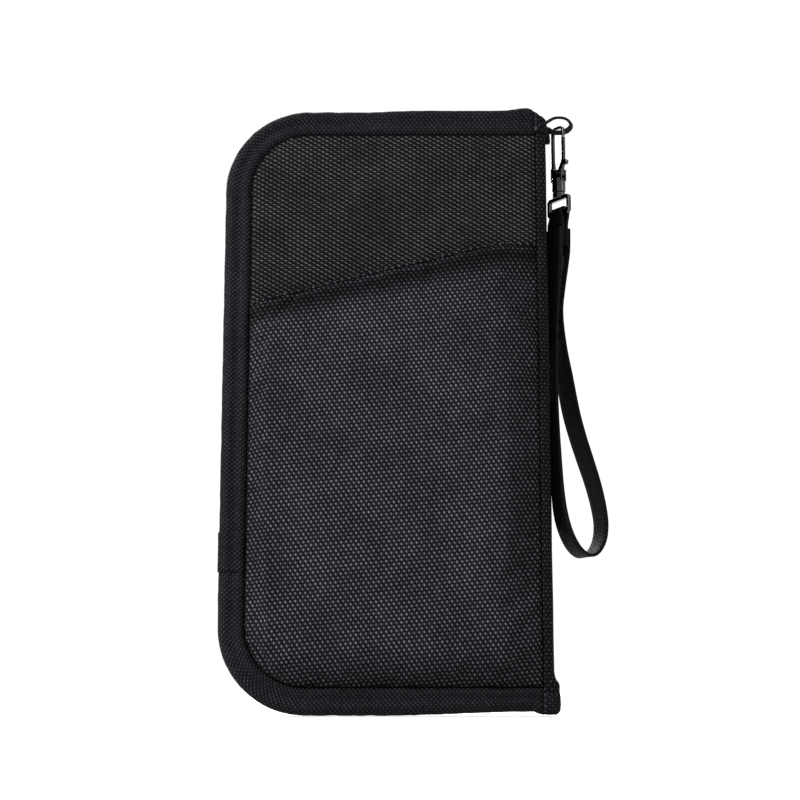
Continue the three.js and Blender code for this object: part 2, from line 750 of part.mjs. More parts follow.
// A short tab folded over the ring's lower bar.
function addStrapTab() {
  const place = new THREE.Group();
  place.position.set(hangX, 0, hangZ);
  place.rotation.z = ringTurn;
  organizer.add(place);
  const foldRadius = ringWire / 2 + touchGap + 0.2 + webbingThickness / 2;
  const legBottom = ringBarZ - 13.4;
  const legHalfGap = webbingThickness / 2 + 0.35;
  const route = [vec(0, legHalfGap, legBottom), vec(0, legHalfGap, ringBarZ - 6)];
  const turns = 8;
  for (let i = 0; i <= turns; i += 1) {
    const angle = Math.PI * (i / turns);
    const y = foldRadius * Math.cos(angle);
    route.push(vec(0, y, ringBarZ + foldRadius * Math.sin(angle)));
  }
  route.push(vec(0, -legHalfGap, ringBarZ - 6), vec(0, -legHalfGap, legBottom));
  const frames = route.map((origin, i) => {
    const before = route[Math.max(0, i - 1)];
    const after = route[Math.min(route.length - 1, i + 1)];
    const tangent = after.clone().sub(before).normalize();
    return { origin, first: vec(1, 0, 0), second: tangent.cross(vec(1, 0, 0)) };
  });
  add("strap_tab", sweep(webbingSection(webbingWidth - 0.6), frames), webbing, place);
}

// The hand strap's route: its middle line's distance out from the spine's face, Y and Z,
// then how far its width is turned from the X axis, in degrees. It starts and ends on the
// tab's two faces.
const strapRoute = [
  [7.9, 1.5, 187.6, 56],
  [7.9, 1.4, 180, 58],
  [7.4, 1.7, 174, 59],
  [5.5, 2.7, 164.5, 63],
  [4.3, 3.1, 155, 68],
  [5.2, 3.4, 142, 64],
  [7.2, 4.2, 129.5, 58],
  [9.4, 5.3, 117, 56],
  [12, 6.4, 107, 57],
  [14.9, 7.7, 98, 58],
  [17.9, 8.8, 88.6, 61],
  [20, 9.7, 80, 64],
  [20.9, 9.9, 72.5, 66],
  [19.9, 9, 66, 66],
  [17, 7, 61.4, 66],
  [13.3, 4.4, 60.2, 66],
  [9.4, 1.4, 62.8, 66],
  [6.3, -0.8, 68, 66],
  [4.2, -2, 75, 67],
  [3.1, -2.3, 84, 70],
  [2.6, -2.2, 96, 74],
  [2.3, -1.6, 112, 79],
  [2.2, -1, 130, 81],
  [2.4, -0.8, 148, 78],
  [3, -1, 163, 72],
  [3.5, -1.3, 174, 63],
  [3.9, -1.4, 181, 58],
  [3.9, -1.4, 187.6, 56],
];

function addWristStrap() {
  const centre = new THREE.CatmullRomCurve3(strapRoute.map(([out, y, z]) => vec(spineFaceX + out, y, z)));
  const turnAt = (along) => {
    const position = along * (strapRoute.length - 1);
    const before = Math.min(Math.floor(position), strapRoute.length - 2);
    const [from, to] = [strapRoute[before][3], strapRoute[before + 1][3]];
    return -radians(from + (to - from) * (position - before));
  };
  const frames = webbingFrames(centre, 78, turnAt);
  add("wrist_strap", sweep(webbingSection(webbingWidth), frames), webbing);
}

// ---------------------------------------------------------------- assembly

addCover("back", 1);
addCover("front", -1);
addFrontPocket();
addBackPockets();
addPenLoop();
addCardSlots();
addCoinPocket();
addSpine();
addMainSlider();
addCoinSlider();
addHangLoop();
addClasp();
addSwivelRing();
addStrapTab();
addWristStrap();

export default organizer;
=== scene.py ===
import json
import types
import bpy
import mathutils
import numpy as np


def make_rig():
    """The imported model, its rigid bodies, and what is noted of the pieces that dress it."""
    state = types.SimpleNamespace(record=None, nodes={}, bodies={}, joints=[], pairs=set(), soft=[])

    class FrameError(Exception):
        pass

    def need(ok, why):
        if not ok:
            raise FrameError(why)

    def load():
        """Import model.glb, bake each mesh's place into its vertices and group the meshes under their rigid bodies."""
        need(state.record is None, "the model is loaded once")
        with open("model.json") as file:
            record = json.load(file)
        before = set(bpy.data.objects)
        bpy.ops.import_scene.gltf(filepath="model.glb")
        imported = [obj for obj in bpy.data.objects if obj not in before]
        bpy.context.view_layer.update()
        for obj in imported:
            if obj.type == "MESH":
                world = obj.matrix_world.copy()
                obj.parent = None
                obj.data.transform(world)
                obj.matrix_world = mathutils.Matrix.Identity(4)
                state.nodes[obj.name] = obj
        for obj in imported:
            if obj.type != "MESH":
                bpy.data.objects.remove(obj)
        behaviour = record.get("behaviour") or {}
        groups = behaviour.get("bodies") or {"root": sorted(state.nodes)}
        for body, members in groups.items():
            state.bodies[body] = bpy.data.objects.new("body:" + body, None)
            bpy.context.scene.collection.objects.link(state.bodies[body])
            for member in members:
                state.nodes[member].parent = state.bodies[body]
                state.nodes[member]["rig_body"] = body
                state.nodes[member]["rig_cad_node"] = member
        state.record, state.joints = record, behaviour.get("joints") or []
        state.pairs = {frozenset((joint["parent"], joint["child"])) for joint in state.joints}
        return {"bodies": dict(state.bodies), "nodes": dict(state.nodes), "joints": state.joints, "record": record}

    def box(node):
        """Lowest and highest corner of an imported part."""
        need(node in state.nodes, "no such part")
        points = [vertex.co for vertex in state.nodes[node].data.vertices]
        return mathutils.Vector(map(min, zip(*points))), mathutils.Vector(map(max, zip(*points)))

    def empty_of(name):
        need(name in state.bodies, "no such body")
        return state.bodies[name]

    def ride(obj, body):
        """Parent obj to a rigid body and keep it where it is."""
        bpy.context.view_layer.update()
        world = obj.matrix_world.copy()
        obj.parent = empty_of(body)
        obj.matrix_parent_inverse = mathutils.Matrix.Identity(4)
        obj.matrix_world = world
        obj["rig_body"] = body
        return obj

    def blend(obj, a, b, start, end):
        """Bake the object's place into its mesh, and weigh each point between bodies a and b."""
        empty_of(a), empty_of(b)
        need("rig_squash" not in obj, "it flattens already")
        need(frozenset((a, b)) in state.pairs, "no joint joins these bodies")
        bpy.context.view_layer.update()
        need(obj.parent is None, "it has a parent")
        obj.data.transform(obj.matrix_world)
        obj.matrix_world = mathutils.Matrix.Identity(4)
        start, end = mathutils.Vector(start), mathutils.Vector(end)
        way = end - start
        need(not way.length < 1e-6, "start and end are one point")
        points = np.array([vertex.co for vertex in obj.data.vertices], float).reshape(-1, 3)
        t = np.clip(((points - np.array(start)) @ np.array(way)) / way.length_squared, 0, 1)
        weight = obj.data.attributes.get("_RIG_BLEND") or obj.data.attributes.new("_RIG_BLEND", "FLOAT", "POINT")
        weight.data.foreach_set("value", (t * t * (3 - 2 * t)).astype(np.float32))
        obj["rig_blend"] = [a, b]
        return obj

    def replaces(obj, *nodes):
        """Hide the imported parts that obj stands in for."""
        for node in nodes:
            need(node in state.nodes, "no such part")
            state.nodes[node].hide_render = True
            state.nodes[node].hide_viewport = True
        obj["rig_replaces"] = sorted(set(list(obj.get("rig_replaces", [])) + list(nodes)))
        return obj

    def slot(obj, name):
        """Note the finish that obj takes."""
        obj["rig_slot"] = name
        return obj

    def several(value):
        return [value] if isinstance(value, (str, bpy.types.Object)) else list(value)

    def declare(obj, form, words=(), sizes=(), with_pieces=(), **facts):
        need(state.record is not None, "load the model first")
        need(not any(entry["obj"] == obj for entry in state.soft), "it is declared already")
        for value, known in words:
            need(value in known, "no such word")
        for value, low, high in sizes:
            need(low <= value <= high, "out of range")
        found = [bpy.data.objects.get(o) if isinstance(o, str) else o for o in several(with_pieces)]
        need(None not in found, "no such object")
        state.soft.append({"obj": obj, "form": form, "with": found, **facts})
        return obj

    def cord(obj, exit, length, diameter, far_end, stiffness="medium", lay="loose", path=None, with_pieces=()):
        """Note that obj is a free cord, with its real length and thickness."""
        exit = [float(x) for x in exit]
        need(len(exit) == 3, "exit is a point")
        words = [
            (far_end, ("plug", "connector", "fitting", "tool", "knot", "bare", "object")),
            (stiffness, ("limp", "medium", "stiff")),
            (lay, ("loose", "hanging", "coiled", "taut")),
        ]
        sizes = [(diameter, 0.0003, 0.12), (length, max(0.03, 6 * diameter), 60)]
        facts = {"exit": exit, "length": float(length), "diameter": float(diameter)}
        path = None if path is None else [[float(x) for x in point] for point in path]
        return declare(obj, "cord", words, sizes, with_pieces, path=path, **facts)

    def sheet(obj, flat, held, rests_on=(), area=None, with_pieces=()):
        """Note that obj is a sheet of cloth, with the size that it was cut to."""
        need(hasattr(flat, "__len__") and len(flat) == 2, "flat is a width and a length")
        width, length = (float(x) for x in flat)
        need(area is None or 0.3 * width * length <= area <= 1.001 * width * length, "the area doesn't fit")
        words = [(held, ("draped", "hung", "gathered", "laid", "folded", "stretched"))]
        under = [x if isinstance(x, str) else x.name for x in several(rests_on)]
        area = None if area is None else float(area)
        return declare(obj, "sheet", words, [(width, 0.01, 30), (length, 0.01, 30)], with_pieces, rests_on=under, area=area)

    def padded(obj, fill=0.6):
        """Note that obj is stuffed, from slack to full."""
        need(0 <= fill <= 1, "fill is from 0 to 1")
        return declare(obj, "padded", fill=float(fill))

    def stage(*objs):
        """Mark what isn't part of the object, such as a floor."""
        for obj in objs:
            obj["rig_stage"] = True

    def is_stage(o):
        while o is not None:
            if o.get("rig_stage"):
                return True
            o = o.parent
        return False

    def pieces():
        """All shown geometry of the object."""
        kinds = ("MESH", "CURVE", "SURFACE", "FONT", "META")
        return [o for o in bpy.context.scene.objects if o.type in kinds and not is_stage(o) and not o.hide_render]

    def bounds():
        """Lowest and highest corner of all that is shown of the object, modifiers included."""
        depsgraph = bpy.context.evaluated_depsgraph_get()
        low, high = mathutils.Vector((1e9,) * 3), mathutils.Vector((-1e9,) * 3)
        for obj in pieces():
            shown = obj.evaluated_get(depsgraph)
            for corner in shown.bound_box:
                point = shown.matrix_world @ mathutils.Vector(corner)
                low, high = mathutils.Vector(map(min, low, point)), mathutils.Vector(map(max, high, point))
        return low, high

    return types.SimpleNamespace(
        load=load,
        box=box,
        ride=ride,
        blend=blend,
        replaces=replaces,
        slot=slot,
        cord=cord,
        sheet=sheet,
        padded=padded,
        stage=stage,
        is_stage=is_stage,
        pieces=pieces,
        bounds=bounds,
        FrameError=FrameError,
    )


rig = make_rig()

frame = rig.load()

import json
import math

import bpy
from mathutils import Matrix, Vector, noise

# Travel document organizer in black nylon. Metres, in the CAD frame: +Z up along the
# spine, +X towards the spine, front pocket facing -Y. MM turns millimetres into metres.

MM = 0.001
cad_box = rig.bounds()

# ---- sizes from the frame


def low(node):
    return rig.box(node)[0]


def high(node):
    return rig.box(node)[1]


LEFT = low("front_edge_strip").x
TOP = high("front_edge_strip").z
SEAM_X = high("front_edge_strip").x
SPINE_X = high("spine_panel").x
FRONT_FACE = low("front_panel").y
BACK_FACE = high("back_panel").y
POCKET_FACE = low("slash_pocket").y
ZIP_Y = (FRONT_FACE + BACK_FACE) / 2
HALF_BODY = (BACK_FACE - FRONT_FACE) / 2
FACE_INSET = low("front_panel").x - LEFT
CORNER = 33 * MM  # the rounded corners on the zip side
LIP_HALF_GAP = ZIP_Y - high("front_edge_strip").y
LINING_INNER = ZIP_Y - high("front_lining").y
SPINE_MIDDLE = Vector((SPINE_X, ZIP_Y, 0))
COVERS = (("front", -1), ("back", 1))  # each cover's name, and its side of the zip plane
SLOTS = {part["node"]: part["material_slot"] for part in frame["record"]["subparts"]}


# ---- camera and light


def put(name, data, place, target):
    """Puts a camera or light at a place, looking at a target."""
    thing = bpy.data.objects.new(name, data)
    bpy.context.scene.collection.objects.link(thing)
    thing.location = place
    thing.rotation_mode = "QUATERNION"
    thing.rotation_quaternion = (Vector(target) - Vector(place)).to_track_quat("-Z", "Y")
    return thing


def make_camera():
    distance = 600 * MM
    tilt = math.radians(10)
    target = Vector((4.5, -9.5, 118.2)) * MM
    data = bpy.data.cameras.new("camera")
    data.lens = 70.8
    data.sensor_width = 36
    place = target - distance * Vector((0, math.cos(tilt), math.sin(tilt)))
    bpy.context.scene.camera = put("camera", data, place, target)


def soft_light(name, place, size, power):
    """A square light aimed at the middle of the organizer."""
    data = bpy.data.lights.new(name, "AREA")
    data.size = size
    data.energy = power
    put(name, data, place, (0, 0, 0.12))


def make_studio():
    scene = bpy.context.scene
    scene.view_settings.view_transform = "Standard"
    scene.world = bpy.data.worlds.new("studio")
    scene.world.use_nodes = True
    background = scene.world.node_tree.nodes["Background"]
    background.inputs["Color"].default_value = (1, 1, 1, 1)
    background.inputs["Strength"].default_value = 1.06
    soft_light("key_light", (-0.85, -0.62, 0.80), 0.40, 40)
    soft_light("fill_light", (0.95, -0.55, 0.35), 0.5, 3)
    soft_light("back_light", (-0.35, 0.95, 0.85), 0.6, 30)

    # The floor's slight glow keeps the contact shadow faint, as on a lit studio table.
    paint = Recipe("floor_paint", roughness=0.9, specular=0.5)
    paint.set("Base Color", (0.5, 0.5, 0.5))
    paint.set("Emission Color", (1, 1, 1))
    paint.set("Emission Strength", 0.6)
    side = 4.0
    level = -0.4 * MM
    places = [(-side, -side), (side, -side), (side, side), (-side, side)]
    corners = [(x, y, level) for x, y in places]
    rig.stage(make_object("floor", corners, [(0, 1, 2, 3)], places, paint.material))


make_camera()


# ---- material helpers


class Signal:
    """A shader socket that is added, multiplied and so on as a number is."""

    def __init__(self, recipe, socket):
        self.recipe = recipe
        self.socket = socket

    def __add__(self, other):
        return self.recipe.compute("ADD", self, other)

    def __sub__(self, other):
        return self.recipe.compute("SUBTRACT", self, other)

    def __rsub__(self, other):
        return self.recipe.compute("SUBTRACT", other, self)

    def __mul__(self, other):
        return self.recipe.compute("MULTIPLY", self, other)

    def __truediv__(self, other):
        return self.recipe.compute("DIVIDE", self, other)

    def __pow__(self, other):
        return self.recipe.compute("POWER", self, other)

    def __abs__(self):
        return self.recipe.compute("ABSOLUTE", self)


class Recipe:
    """Builds one procedural material. UV maps are in metres, along and across a piece."""

    def __init__(self, name, roughness=0.6, specular=0.3, metallic=0.0):
        self.material = bpy.data.materials.new(name)
        self.material.use_nodes = True
        self.tree = self.material.node_tree
        self.shader = self.tree.nodes["Principled BSDF"]
        self.set("Roughness", roughness)
        self.set("Specular IOR Level", specular)
        self.set("Metallic", metallic)

    def set(self, socket, value):
        self.feed(value, self.shader.inputs[socket])

    def feed(self, value, socket):
        if isinstance(value, Signal):
            self.tree.links.new(value.socket, socket)
        elif isinstance(value, tuple) and socket.type == "RGBA":
            socket.default_value = (*value, 1)
        else:
            socket.default_value = value

    def node(self, kind, output, *values, **settings):
        """A new node with its settings and its first inputs: gives one of its outputs."""
        node = self.tree.nodes.new(f"ShaderNode{kind}")
        for name, setting in settings.items():
            setattr(node, name, setting)
        for socket, value in zip(node.inputs, values):
            self.feed(value, socket)
        return Signal(self, node.outputs[output])

    def compute(self, operation, *values):
        return self.node("Math", 0, *values, operation=operation)

    def sine(self, value, turns=math.pi):
        return self.compute("SINE", value * turns)

    def uv(self):
        return self.node("UVMap", 0)

    def split_uv(self):
        return [self.node("SeparateXYZ", axis, self.uv()) for axis in (0, 1)]

    def solid_place(self):
        return self.node("TexCoord", "Object")

    def scaled(self, vector, x, y):
        return self.node("VectorMath", 0, vector, (x, y, 1.0), operation="MULTIPLY")

    def noise(self, vector, scale, detail=2.0):
        unused_w = 0.0
        return self.node("TexNoise", "Fac", vector, unused_w, scale, detail)

    def attribute(self, name):
        return self.node("Attribute", "Fac", attribute_name=name)

    def between(self, value, start, end, to_start=0.0, to_end=1.0):
        settings = (value, start, end, to_start, to_end)
        return self.node("MapRange", 0, *settings, interpolation_type="SMOOTHSTEP")

    def blend(self, factor, first, second):
        node = self.tree.nodes.new("ShaderNodeMix")
        node.data_type = "RGBA"
        for place, value in ((0, factor), (6, first), (7, second)):
            self.feed(value, node.inputs[place])
        return Signal(self, node.outputs[2])

    def bump(self, height, distance):
        node = self.tree.nodes.new("ShaderNodeBump")
        node.inputs["Distance"].default_value = distance
        self.feed(height, node.inputs["Height"])
        self.set("Normal", Signal(self, node.outputs[0]))

    def sheen(self, weight, roughness):
        self.set("Sheen Weight", weight)
        self.set("Sheen Roughness", roughness)


# Painted shade: the dark between a weave's yarns, where the crowns shade what lies under them.
PAINTED_GAP_SHADE = (0.0006, 0.0006, 0.0009)  # between a weave's yarns
DEEP_BLACK = (0.006, 0.006, 0.007)
METAL_BLACK = (0.010, 0.010, 0.011)


def basket_weave(name, pitch, weft, warp, sharp, lean=0.0, slope=0.0, depth=0.22 * MM):
    """Ballistic nylon: thick flat yarns over and under, pitch metres across and along.

    weft and warp are the colours painted on the two sets of yarns, the warp's lighter one a
    painted highlight for the sheen of its shiny filaments; sharp narrows the painted highlights
    on the crowns across and along, lean tilts each crown and slope is the rows' rise."""
    r = Recipe(name, specular=0.008)
    u, v = r.split_uv()
    v = v - u * slope
    wander = (r.noise(r.uv(), 130, 3) - 0.5) * (0.12 * MM)
    u = (u + wander) / pitch[0]
    v = (v + wander) / pitch[1]
    u = u + r.sine(v, 2 * math.pi) * lean
    wave_u = r.sine(u)
    wave_v = r.sine(v)
    crown = wave_u * wave_v
    on_warp = r.between(crown, -0.06, 0.10)

    # Each crown has its own brightness and larger patches differ too. The colour runs from painted shade in the gaps
    # to a painted highlight on the crowns, and the crowns are painted darker where the mesh marks painted shade, at
    # seams and hems.
    cell = r.node("CombineXYZ", 0, r.compute("FLOOR", u), r.compute("FLOOR", v))
    unlike = r.node("TexWhiteNoise", "Value", cell, noise_dimensions="2D")
    patches = r.between(r.noise(r.uv(), 45, 3), 0.3, 0.7, 0.8, 1.15)
    lift = patches * (unlike * 0.5 + 0.70) * (1.0 - r.attribute("taut") * 0.80)
    crown_highlight = abs(wave_u) ** sharp[0] * abs(wave_v) ** sharp[1]
    yarn = r.blend(on_warp, weft, warp)
    r.set("Base Color", r.blend(crown_highlight * lift, PAINTED_GAP_SHADE, yarn))
    r.set("Roughness", r.noise(r.uv(), 22) * 0.14 + 0.50 - crown_highlight * 0.10)

    # The weft lies lower than the warp, and each yarn shows its filaments.
    filaments_per_yarn = 12
    warp_lines = r.sine(u, math.pi * filaments_per_yarn)
    weft_lines = r.sine(v, math.pi * filaments_per_yarn)
    filaments = weft_lines + (warp_lines - weft_lines) * on_warp
    height = abs(crown) ** 0.62 * r.between(on_warp, 0, 1, 0.55, 1.0)
    r.bump(height + filaments * 0.05, depth)
    return r.material


def fine_cloth(name, pitch, dark, light):
    """A finer plain weave, mottled where its yarns vary in thickness."""
    mottle = 0.3
    r = Recipe(name, specular=0.04)
    u, v = r.split_uv()
    crown = r.sine(u, math.pi / pitch) * r.sine(v, math.pi / (pitch * 0.8))
    slub_v = r.noise(r.scaled(r.uv(), 1.0, 0.5), 1050)
    slub_u = r.noise(r.scaled(r.uv(), 0.5, 1.0), 950)
    slubs = slub_u + slub_v - 1.0
    patch = r.noise(r.uv(), 90, 3)
    share = r.between(crown, -1, 1) * 0.7 + slubs * (mottle * 2.2) + (patch - 0.5) * mottle
    r.set("Base Color", r.blend(r.compute("MAXIMUM", share, 0.0), dark, light))
    r.set("Roughness", patch * 0.16 + 0.58)
    r.bump(abs(crown) ** 0.8 + slubs * 1.2, 0.03 * MM)
    r.sheen(0.015, 0.4)
    return r.material


def ribbed_webbing(name, rib, dark, light, depth=0.12 * MM):
    """Narrow webbing: ribs across its width, broken by the warp that runs along it."""
    warp_pitch = 0.62 * MM
    r = Recipe(name, specular=0.025)
    u, v = r.split_uv()
    wander = r.noise(r.uv(), 160) * (0.25 * MM)
    ribs = r.sine(v + wander, 2 * math.pi / rib)
    warp = r.sine(u, 2 * math.pi / warp_pitch)
    height = ribs * 0.4 + warp * 0.3
    streaks = r.noise(r.scaled(r.uv(), 1.0, 0.06), 1100)
    share = r.between(height, -0.8, 0.8) + streaks * 1.4 - 0.7
    r.set("Base Color", r.blend(share, dark, light))
    r.set("Roughness", r.noise(r.uv(), 90, 3) * 0.15 + 0.60)
    r.bump(height, depth)
    r.sheen(0.01, 0.4)
    return r.material


def twill_tape(name, pitch, dark, light):
    """Zip tape: a fine herringbone twill."""
    stripe = 1.2 * MM
    r = Recipe(name, specular=0.08)
    u, v = r.split_uv()
    ribs = r.sine(v + r.compute("PINGPONG", u, stripe), 2 * math.pi / pitch)
    patch = r.noise(r.uv(), 140, 3)
    r.set("Base Color", r.blend(r.between(ribs, -1, 1) + patch - 0.5, dark, light))
    r.set("Roughness", patch * 0.15 + 0.62)
    r.bump(ribs, 0.06 * MM)
    r.sheen(0.02, 0.5)
    return r.material


def foam(name, dark, light):
    r = Recipe(name, roughness=0.9, specular=0.2)
    pores = r.noise(r.solid_place(), 1800)
    r.set("Base Color", r.blend(pores, dark, light))
    r.bump(pores, 0.12 * MM)
    return r.material


def moulded(name, dark, light):
    """The zip's plastic coil: smooth, with a slight haze."""
    r = Recipe(name, specular=0.3)
    haze = r.noise(r.solid_place(), 700)
    r.set("Base Color", r.blend(haze, dark, light))
    r.set("Roughness", haze * 0.16 + 0.32)
    return r.material


def polished_metal(name, light, smoothest, roughest, depth):
    """Plated die-cast metal: fine casting ripple under the plating, and a cloudy tone."""
    r = Recipe(name, metallic=1.0)
    ripple = r.noise(r.solid_place(), 900, 3)
    cloud = r.noise(r.solid_place(), 160, 3)
    r.set("Base Color", r.blend(cloud, METAL_BLACK, light))
    r.set("Roughness", ripple * (roughest - smoothest) + smoothest)
    r.bump(ripple, depth)
    return r.material


def thread_cloth(name, dark, light):
    """Sewing thread: two plies twisted together."""
    twist_pitch = 0.5 * MM
    r = Recipe(name, roughness=0.55, specular=0.03)
    u, v = r.split_uv()
    twist = r.sine(u + v, 2 * math.pi / twist_pitch)
    r.set("Base Color", r.blend(r.between(twist, -1, 1), dark, light))
    r.bump(twist, 0.04 * MM)
    return r.material


pocket_nylon = basket_weave(
    "pocket_nylon", (0.93 * MM, 1.44 * MM), (0.010, 0.010, 0.012), (0.072, 0.072, 0.080),
    (0.9, 1.35), lean=-0.10, slope=0.1
)
panel_nylon = basket_weave(
    "panel_nylon", (1.56 * MM, 0.9 * MM), DEEP_BLACK, (0.050, 0.050, 0.054),
    (1.2, 1.1), lean=-0.20
)
# The spine's weave has the pocket's pitch with a darker warp, partly as painted shade from the strap beside it.
spine_nylon = basket_weave(
    "spine_nylon", (0.93 * MM, 1.44 * MM), DEEP_BLACK, (0.021, 0.021, 0.024), (0.9, 1.35)
)
edge_nylon = basket_weave(
    "edge_nylon", (1.05 * MM, 0.85 * MM), DEEP_BLACK, (0.019, 0.019, 0.022),
    (0.8, 0.8), lean=0.15, depth=0.10 * MM
)
lining_cloth = fine_cloth("lining_cloth", 0.34 * MM, DEEP_BLACK, (0.017, 0.017, 0.019))
strap_webbing = ribbed_webbing(
    "strap_webbing", 1.15 * MM, (0.0008, 0.0008, 0.0008), (0.0054, 0.0054, 0.0061)
)
loop_ribbon = ribbed_webbing(
    "loop_ribbon", 0.7 * MM, (0.0015, 0.0015, 0.0015), (0.010, 0.010, 0.011), 0.06 * MM
)
elastic_ribbon = ribbed_webbing(
    "elastic_ribbon", 1.5 * MM, (0.003, 0.003, 0.003), (0.012, 0.012, 0.014)
)
tape_twill = twill_tape("tape_twill", 0.55 * MM, (0.002, 0.002, 0.002), (0.008, 0.008, 0.009))
coil_plastic = moulded("coil_plastic", (0.003, 0.003, 0.003), (0.007, 0.007, 0.008))
board_foam = foam("board_foam", (0.012, 0.012, 0.013), (0.05, 0.05, 0.052))
thread = thread_cloth("thread", (0.0008, 0.0008, 0.0008), (0.0055, 0.0055, 0.006))
gunmetal = polished_metal("gunmetal", (0.075, 0.075, 0.080), 0.08, 0.20, 0.03 * MM)
black_metal = polished_metal("black_metal", (0.028, 0.028, 0.030), 0.24, 0.40, 0.02 * MM)


# ---- mesh helpers


def ramp(value, start, end):
    """0 before start, 1 after end, and smooth between them."""
    share = min(1.0, max(0.0, (value - start) / (end - start)))
    return share * share * (3 - 2 * share)


def wobble(x, y, z, size, seed=0.0):
    """A smooth random height from -1 to 1, changing over about size metres."""
    return noise.noise(Vector((x / size + seed, y / size + 2 * seed, z / size - seed)))


def make_object(name, points, faces, uvs, material):
    mesh = bpy.data.meshes.new(name)
    mesh.from_pydata(points, [], faces)
    layer = mesh.uv_layers.new(name="UVMap")
    layer.data.foreach_set("uv", [value for pair in uvs for value in pair])
    mesh.materials.append(material)
    mesh.polygons.foreach_set("use_smooth", [True] * len(faces))
    mesh.update()
    piece = bpy.data.objects.new(name, mesh)
    bpy.context.scene.collection.objects.link(piece)
    return piece


def running_lengths(points):
    lengths = [0.0]
    for before, after in zip(points, points[1:]):
        lengths.append(lengths[-1] + (after - before).length)
    return lengths


def add_rings(mesh, rings, across, along, closed=True, capped=True):
    """Adds a surface through rings of points to mesh, the lists of points, faces and UVs.

    across and along are the UV map's marks round a ring and from ring to ring."""
    points, faces, uvs = mesh
    first = len(points)
    count = len(rings[0])
    points += [point for ring in rings for point in ring]
    for i in range(len(rings) - 1):
        here = first + i * count
        there = here + count
        for j in range(count if closed else count - 1):
            k = (j + 1) % count
            faces.append((here + j, here + k, there + k, there + j))
            uvs += [(across[j], along[i]), (across[j + 1], along[i])]
            uvs += [(across[j + 1], along[i + 1]), (across[j], along[i + 1])]
    if capped:
        last = first + (len(rings) - 1) * count
        faces.append(tuple(first + j for j in reversed(range(count))))
        uvs += [(across[j], 0.0) for j in reversed(range(count))]
        faces.append(tuple(last + j for j in range(count)))
        uvs += [(across[j], along[-1]) for j in range(count)]


def skin(name, rings, material, closed=False, capped=False):
    """A surface through a list of rings of points."""
    middle = rings[len(rings) // 2]
    across = running_lengths([*middle, middle[0]] if closed else middle)
    centres = [sum(ring, Vector()) / len(ring) for ring in rings]
    mesh = ([], [], [])
    add_rings(mesh, rings, across, running_lengths(centres), closed, capped)
    return make_object(name, *mesh, material)


def circle(centre, first, second, radius, sides=6):
    """Points round a centre, in the plane of two directions."""
    angles = [2 * math.pi * side / sides for side in range(sides)]
    return [centre + (first * math.cos(a) + second * math.sin(a)) * radius for a in angles]


def grid(name, columns, rows, place, material):
    """A sheet of cloth: place(u, v) gives each point for u and v from 0 to 1."""
    points = [place(i / columns, j / rows) for j in range(rows + 1) for i in range(columns + 1)]
    faces = []
    for j in range(rows):
        for i in range(columns):
            corner = j * (columns + 1) + i
            faces.append((corner, corner + 1, corner + columns + 2, corner + columns + 1))
    uvs = [(points[k].x, points[k].z) for face in faces for k in face]
    return make_object(name, points, faces, uvs, material)


def mark_painted_shade(piece, values):
    """Keeps the painted shade at each point of the cloth, which darkens its weave's crowns."""
    layer = piece.data.attributes.new("taut", "FLOAT", "POINT")
    layer.data.foreach_set("value", values)


def map_flat(piece, flatten):
    """Gives a piece the UV map that flatten(point) says."""
    layers = piece.data.uv_layers
    layer = layers.get("UVMap") or layers.new(name="UVMap")
    for loop in piece.data.loops:
        layer.data[loop.index].uv = flatten(piece.data.vertices[loop.vertex_index].co)


def apply_modifiers(piece):
    """Puts the modifiers' result in the piece's own mesh."""
    graph = bpy.context.evaluated_depsgraph_get()
    done = bpy.data.meshes.new_from_object(piece.evaluated_get(graph), depsgraph=graph)
    piece.modifiers.clear()
    piece.data = done
    return piece


def modify(piece, kind, **settings):
    modifier = piece.modifiers.new(kind.lower(), kind)
    for name, setting in settings.items():
        setattr(modifier, name, setting)


def thicken(piece, thickness, turned=False):
    """Gives a sheet its thickness, inward from the side that its faces look to. turned
    says that the faces look inward and are turned round first."""
    if turned:
        piece.data.flip_normals()
    modify(piece, "SOLIDIFY", thickness=thickness, offset=-1, use_rim=True)
    return apply_modifiers(piece)


def cad_copy(node, name):
    piece = bpy.data.objects.new(name, frame["nodes"][node].data.copy())
    bpy.context.scene.collection.objects.link(piece)
    return piece


def finish_copy(piece, material):
    apply_modifiers(piece)
    piece.data.materials.clear()
    piece.data.materials.append(material)
    piece.data.polygons.foreach_set("use_smooth", [True] * len(piece.data.polygons))
    return piece


def rounded_copy(node, name, material, voxel, passes):
    """A softened, even-meshed copy of a CAD node, as a casting is."""
    piece = cad_copy(node, name)
    modify(piece, "REMESH", mode="VOXEL", voxel_size=voxel)
    modify(piece, "SMOOTH", factor=0.5, iterations=passes)
    return finish_copy(piece, material)


def softened_plate(node, name, material, width):
    """A copy of a CAD plate with its edges rounded."""
    piece = cad_copy(node, name)
    flat, sharp = math.radians(2), math.radians(40)
    modify(piece, "WELD", merge_threshold=0.01 * MM)
    modify(piece, "DECIMATE", decimate_type="DISSOLVE", angle_limit=flat)
    modify(piece, "BEVEL", width=width, segments=3, limit_method="ANGLE", angle_limit=sharp)
    return finish_copy(piece, material)


def add_to(piece, node):
    """The piece moves with a CAD node's body as extra detail, in the node's slot."""
    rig.ride(piece, frame["nodes"][node]["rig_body"])
    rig.slot(piece, SLOTS[node])
    return piece


def dress(piece, node):
    """The piece moves with a CAD node's body and stands for the node."""
    add_to(piece, node)
    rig.replaces(piece, node)
    return piece


# ---- stitching

THREAD_RADIUS = 0.21 * MM

# A stitch from end to end: share of its length, lift in thread radii, and girth.
STITCH_PROFILE = [(0.0, -1.3, 0.5), (0.12, 0.1, 0.9), (0.5, 0.5, 1.0), (0.88, 0.1, 0.9), (1.0, -1.3, 0.5)]


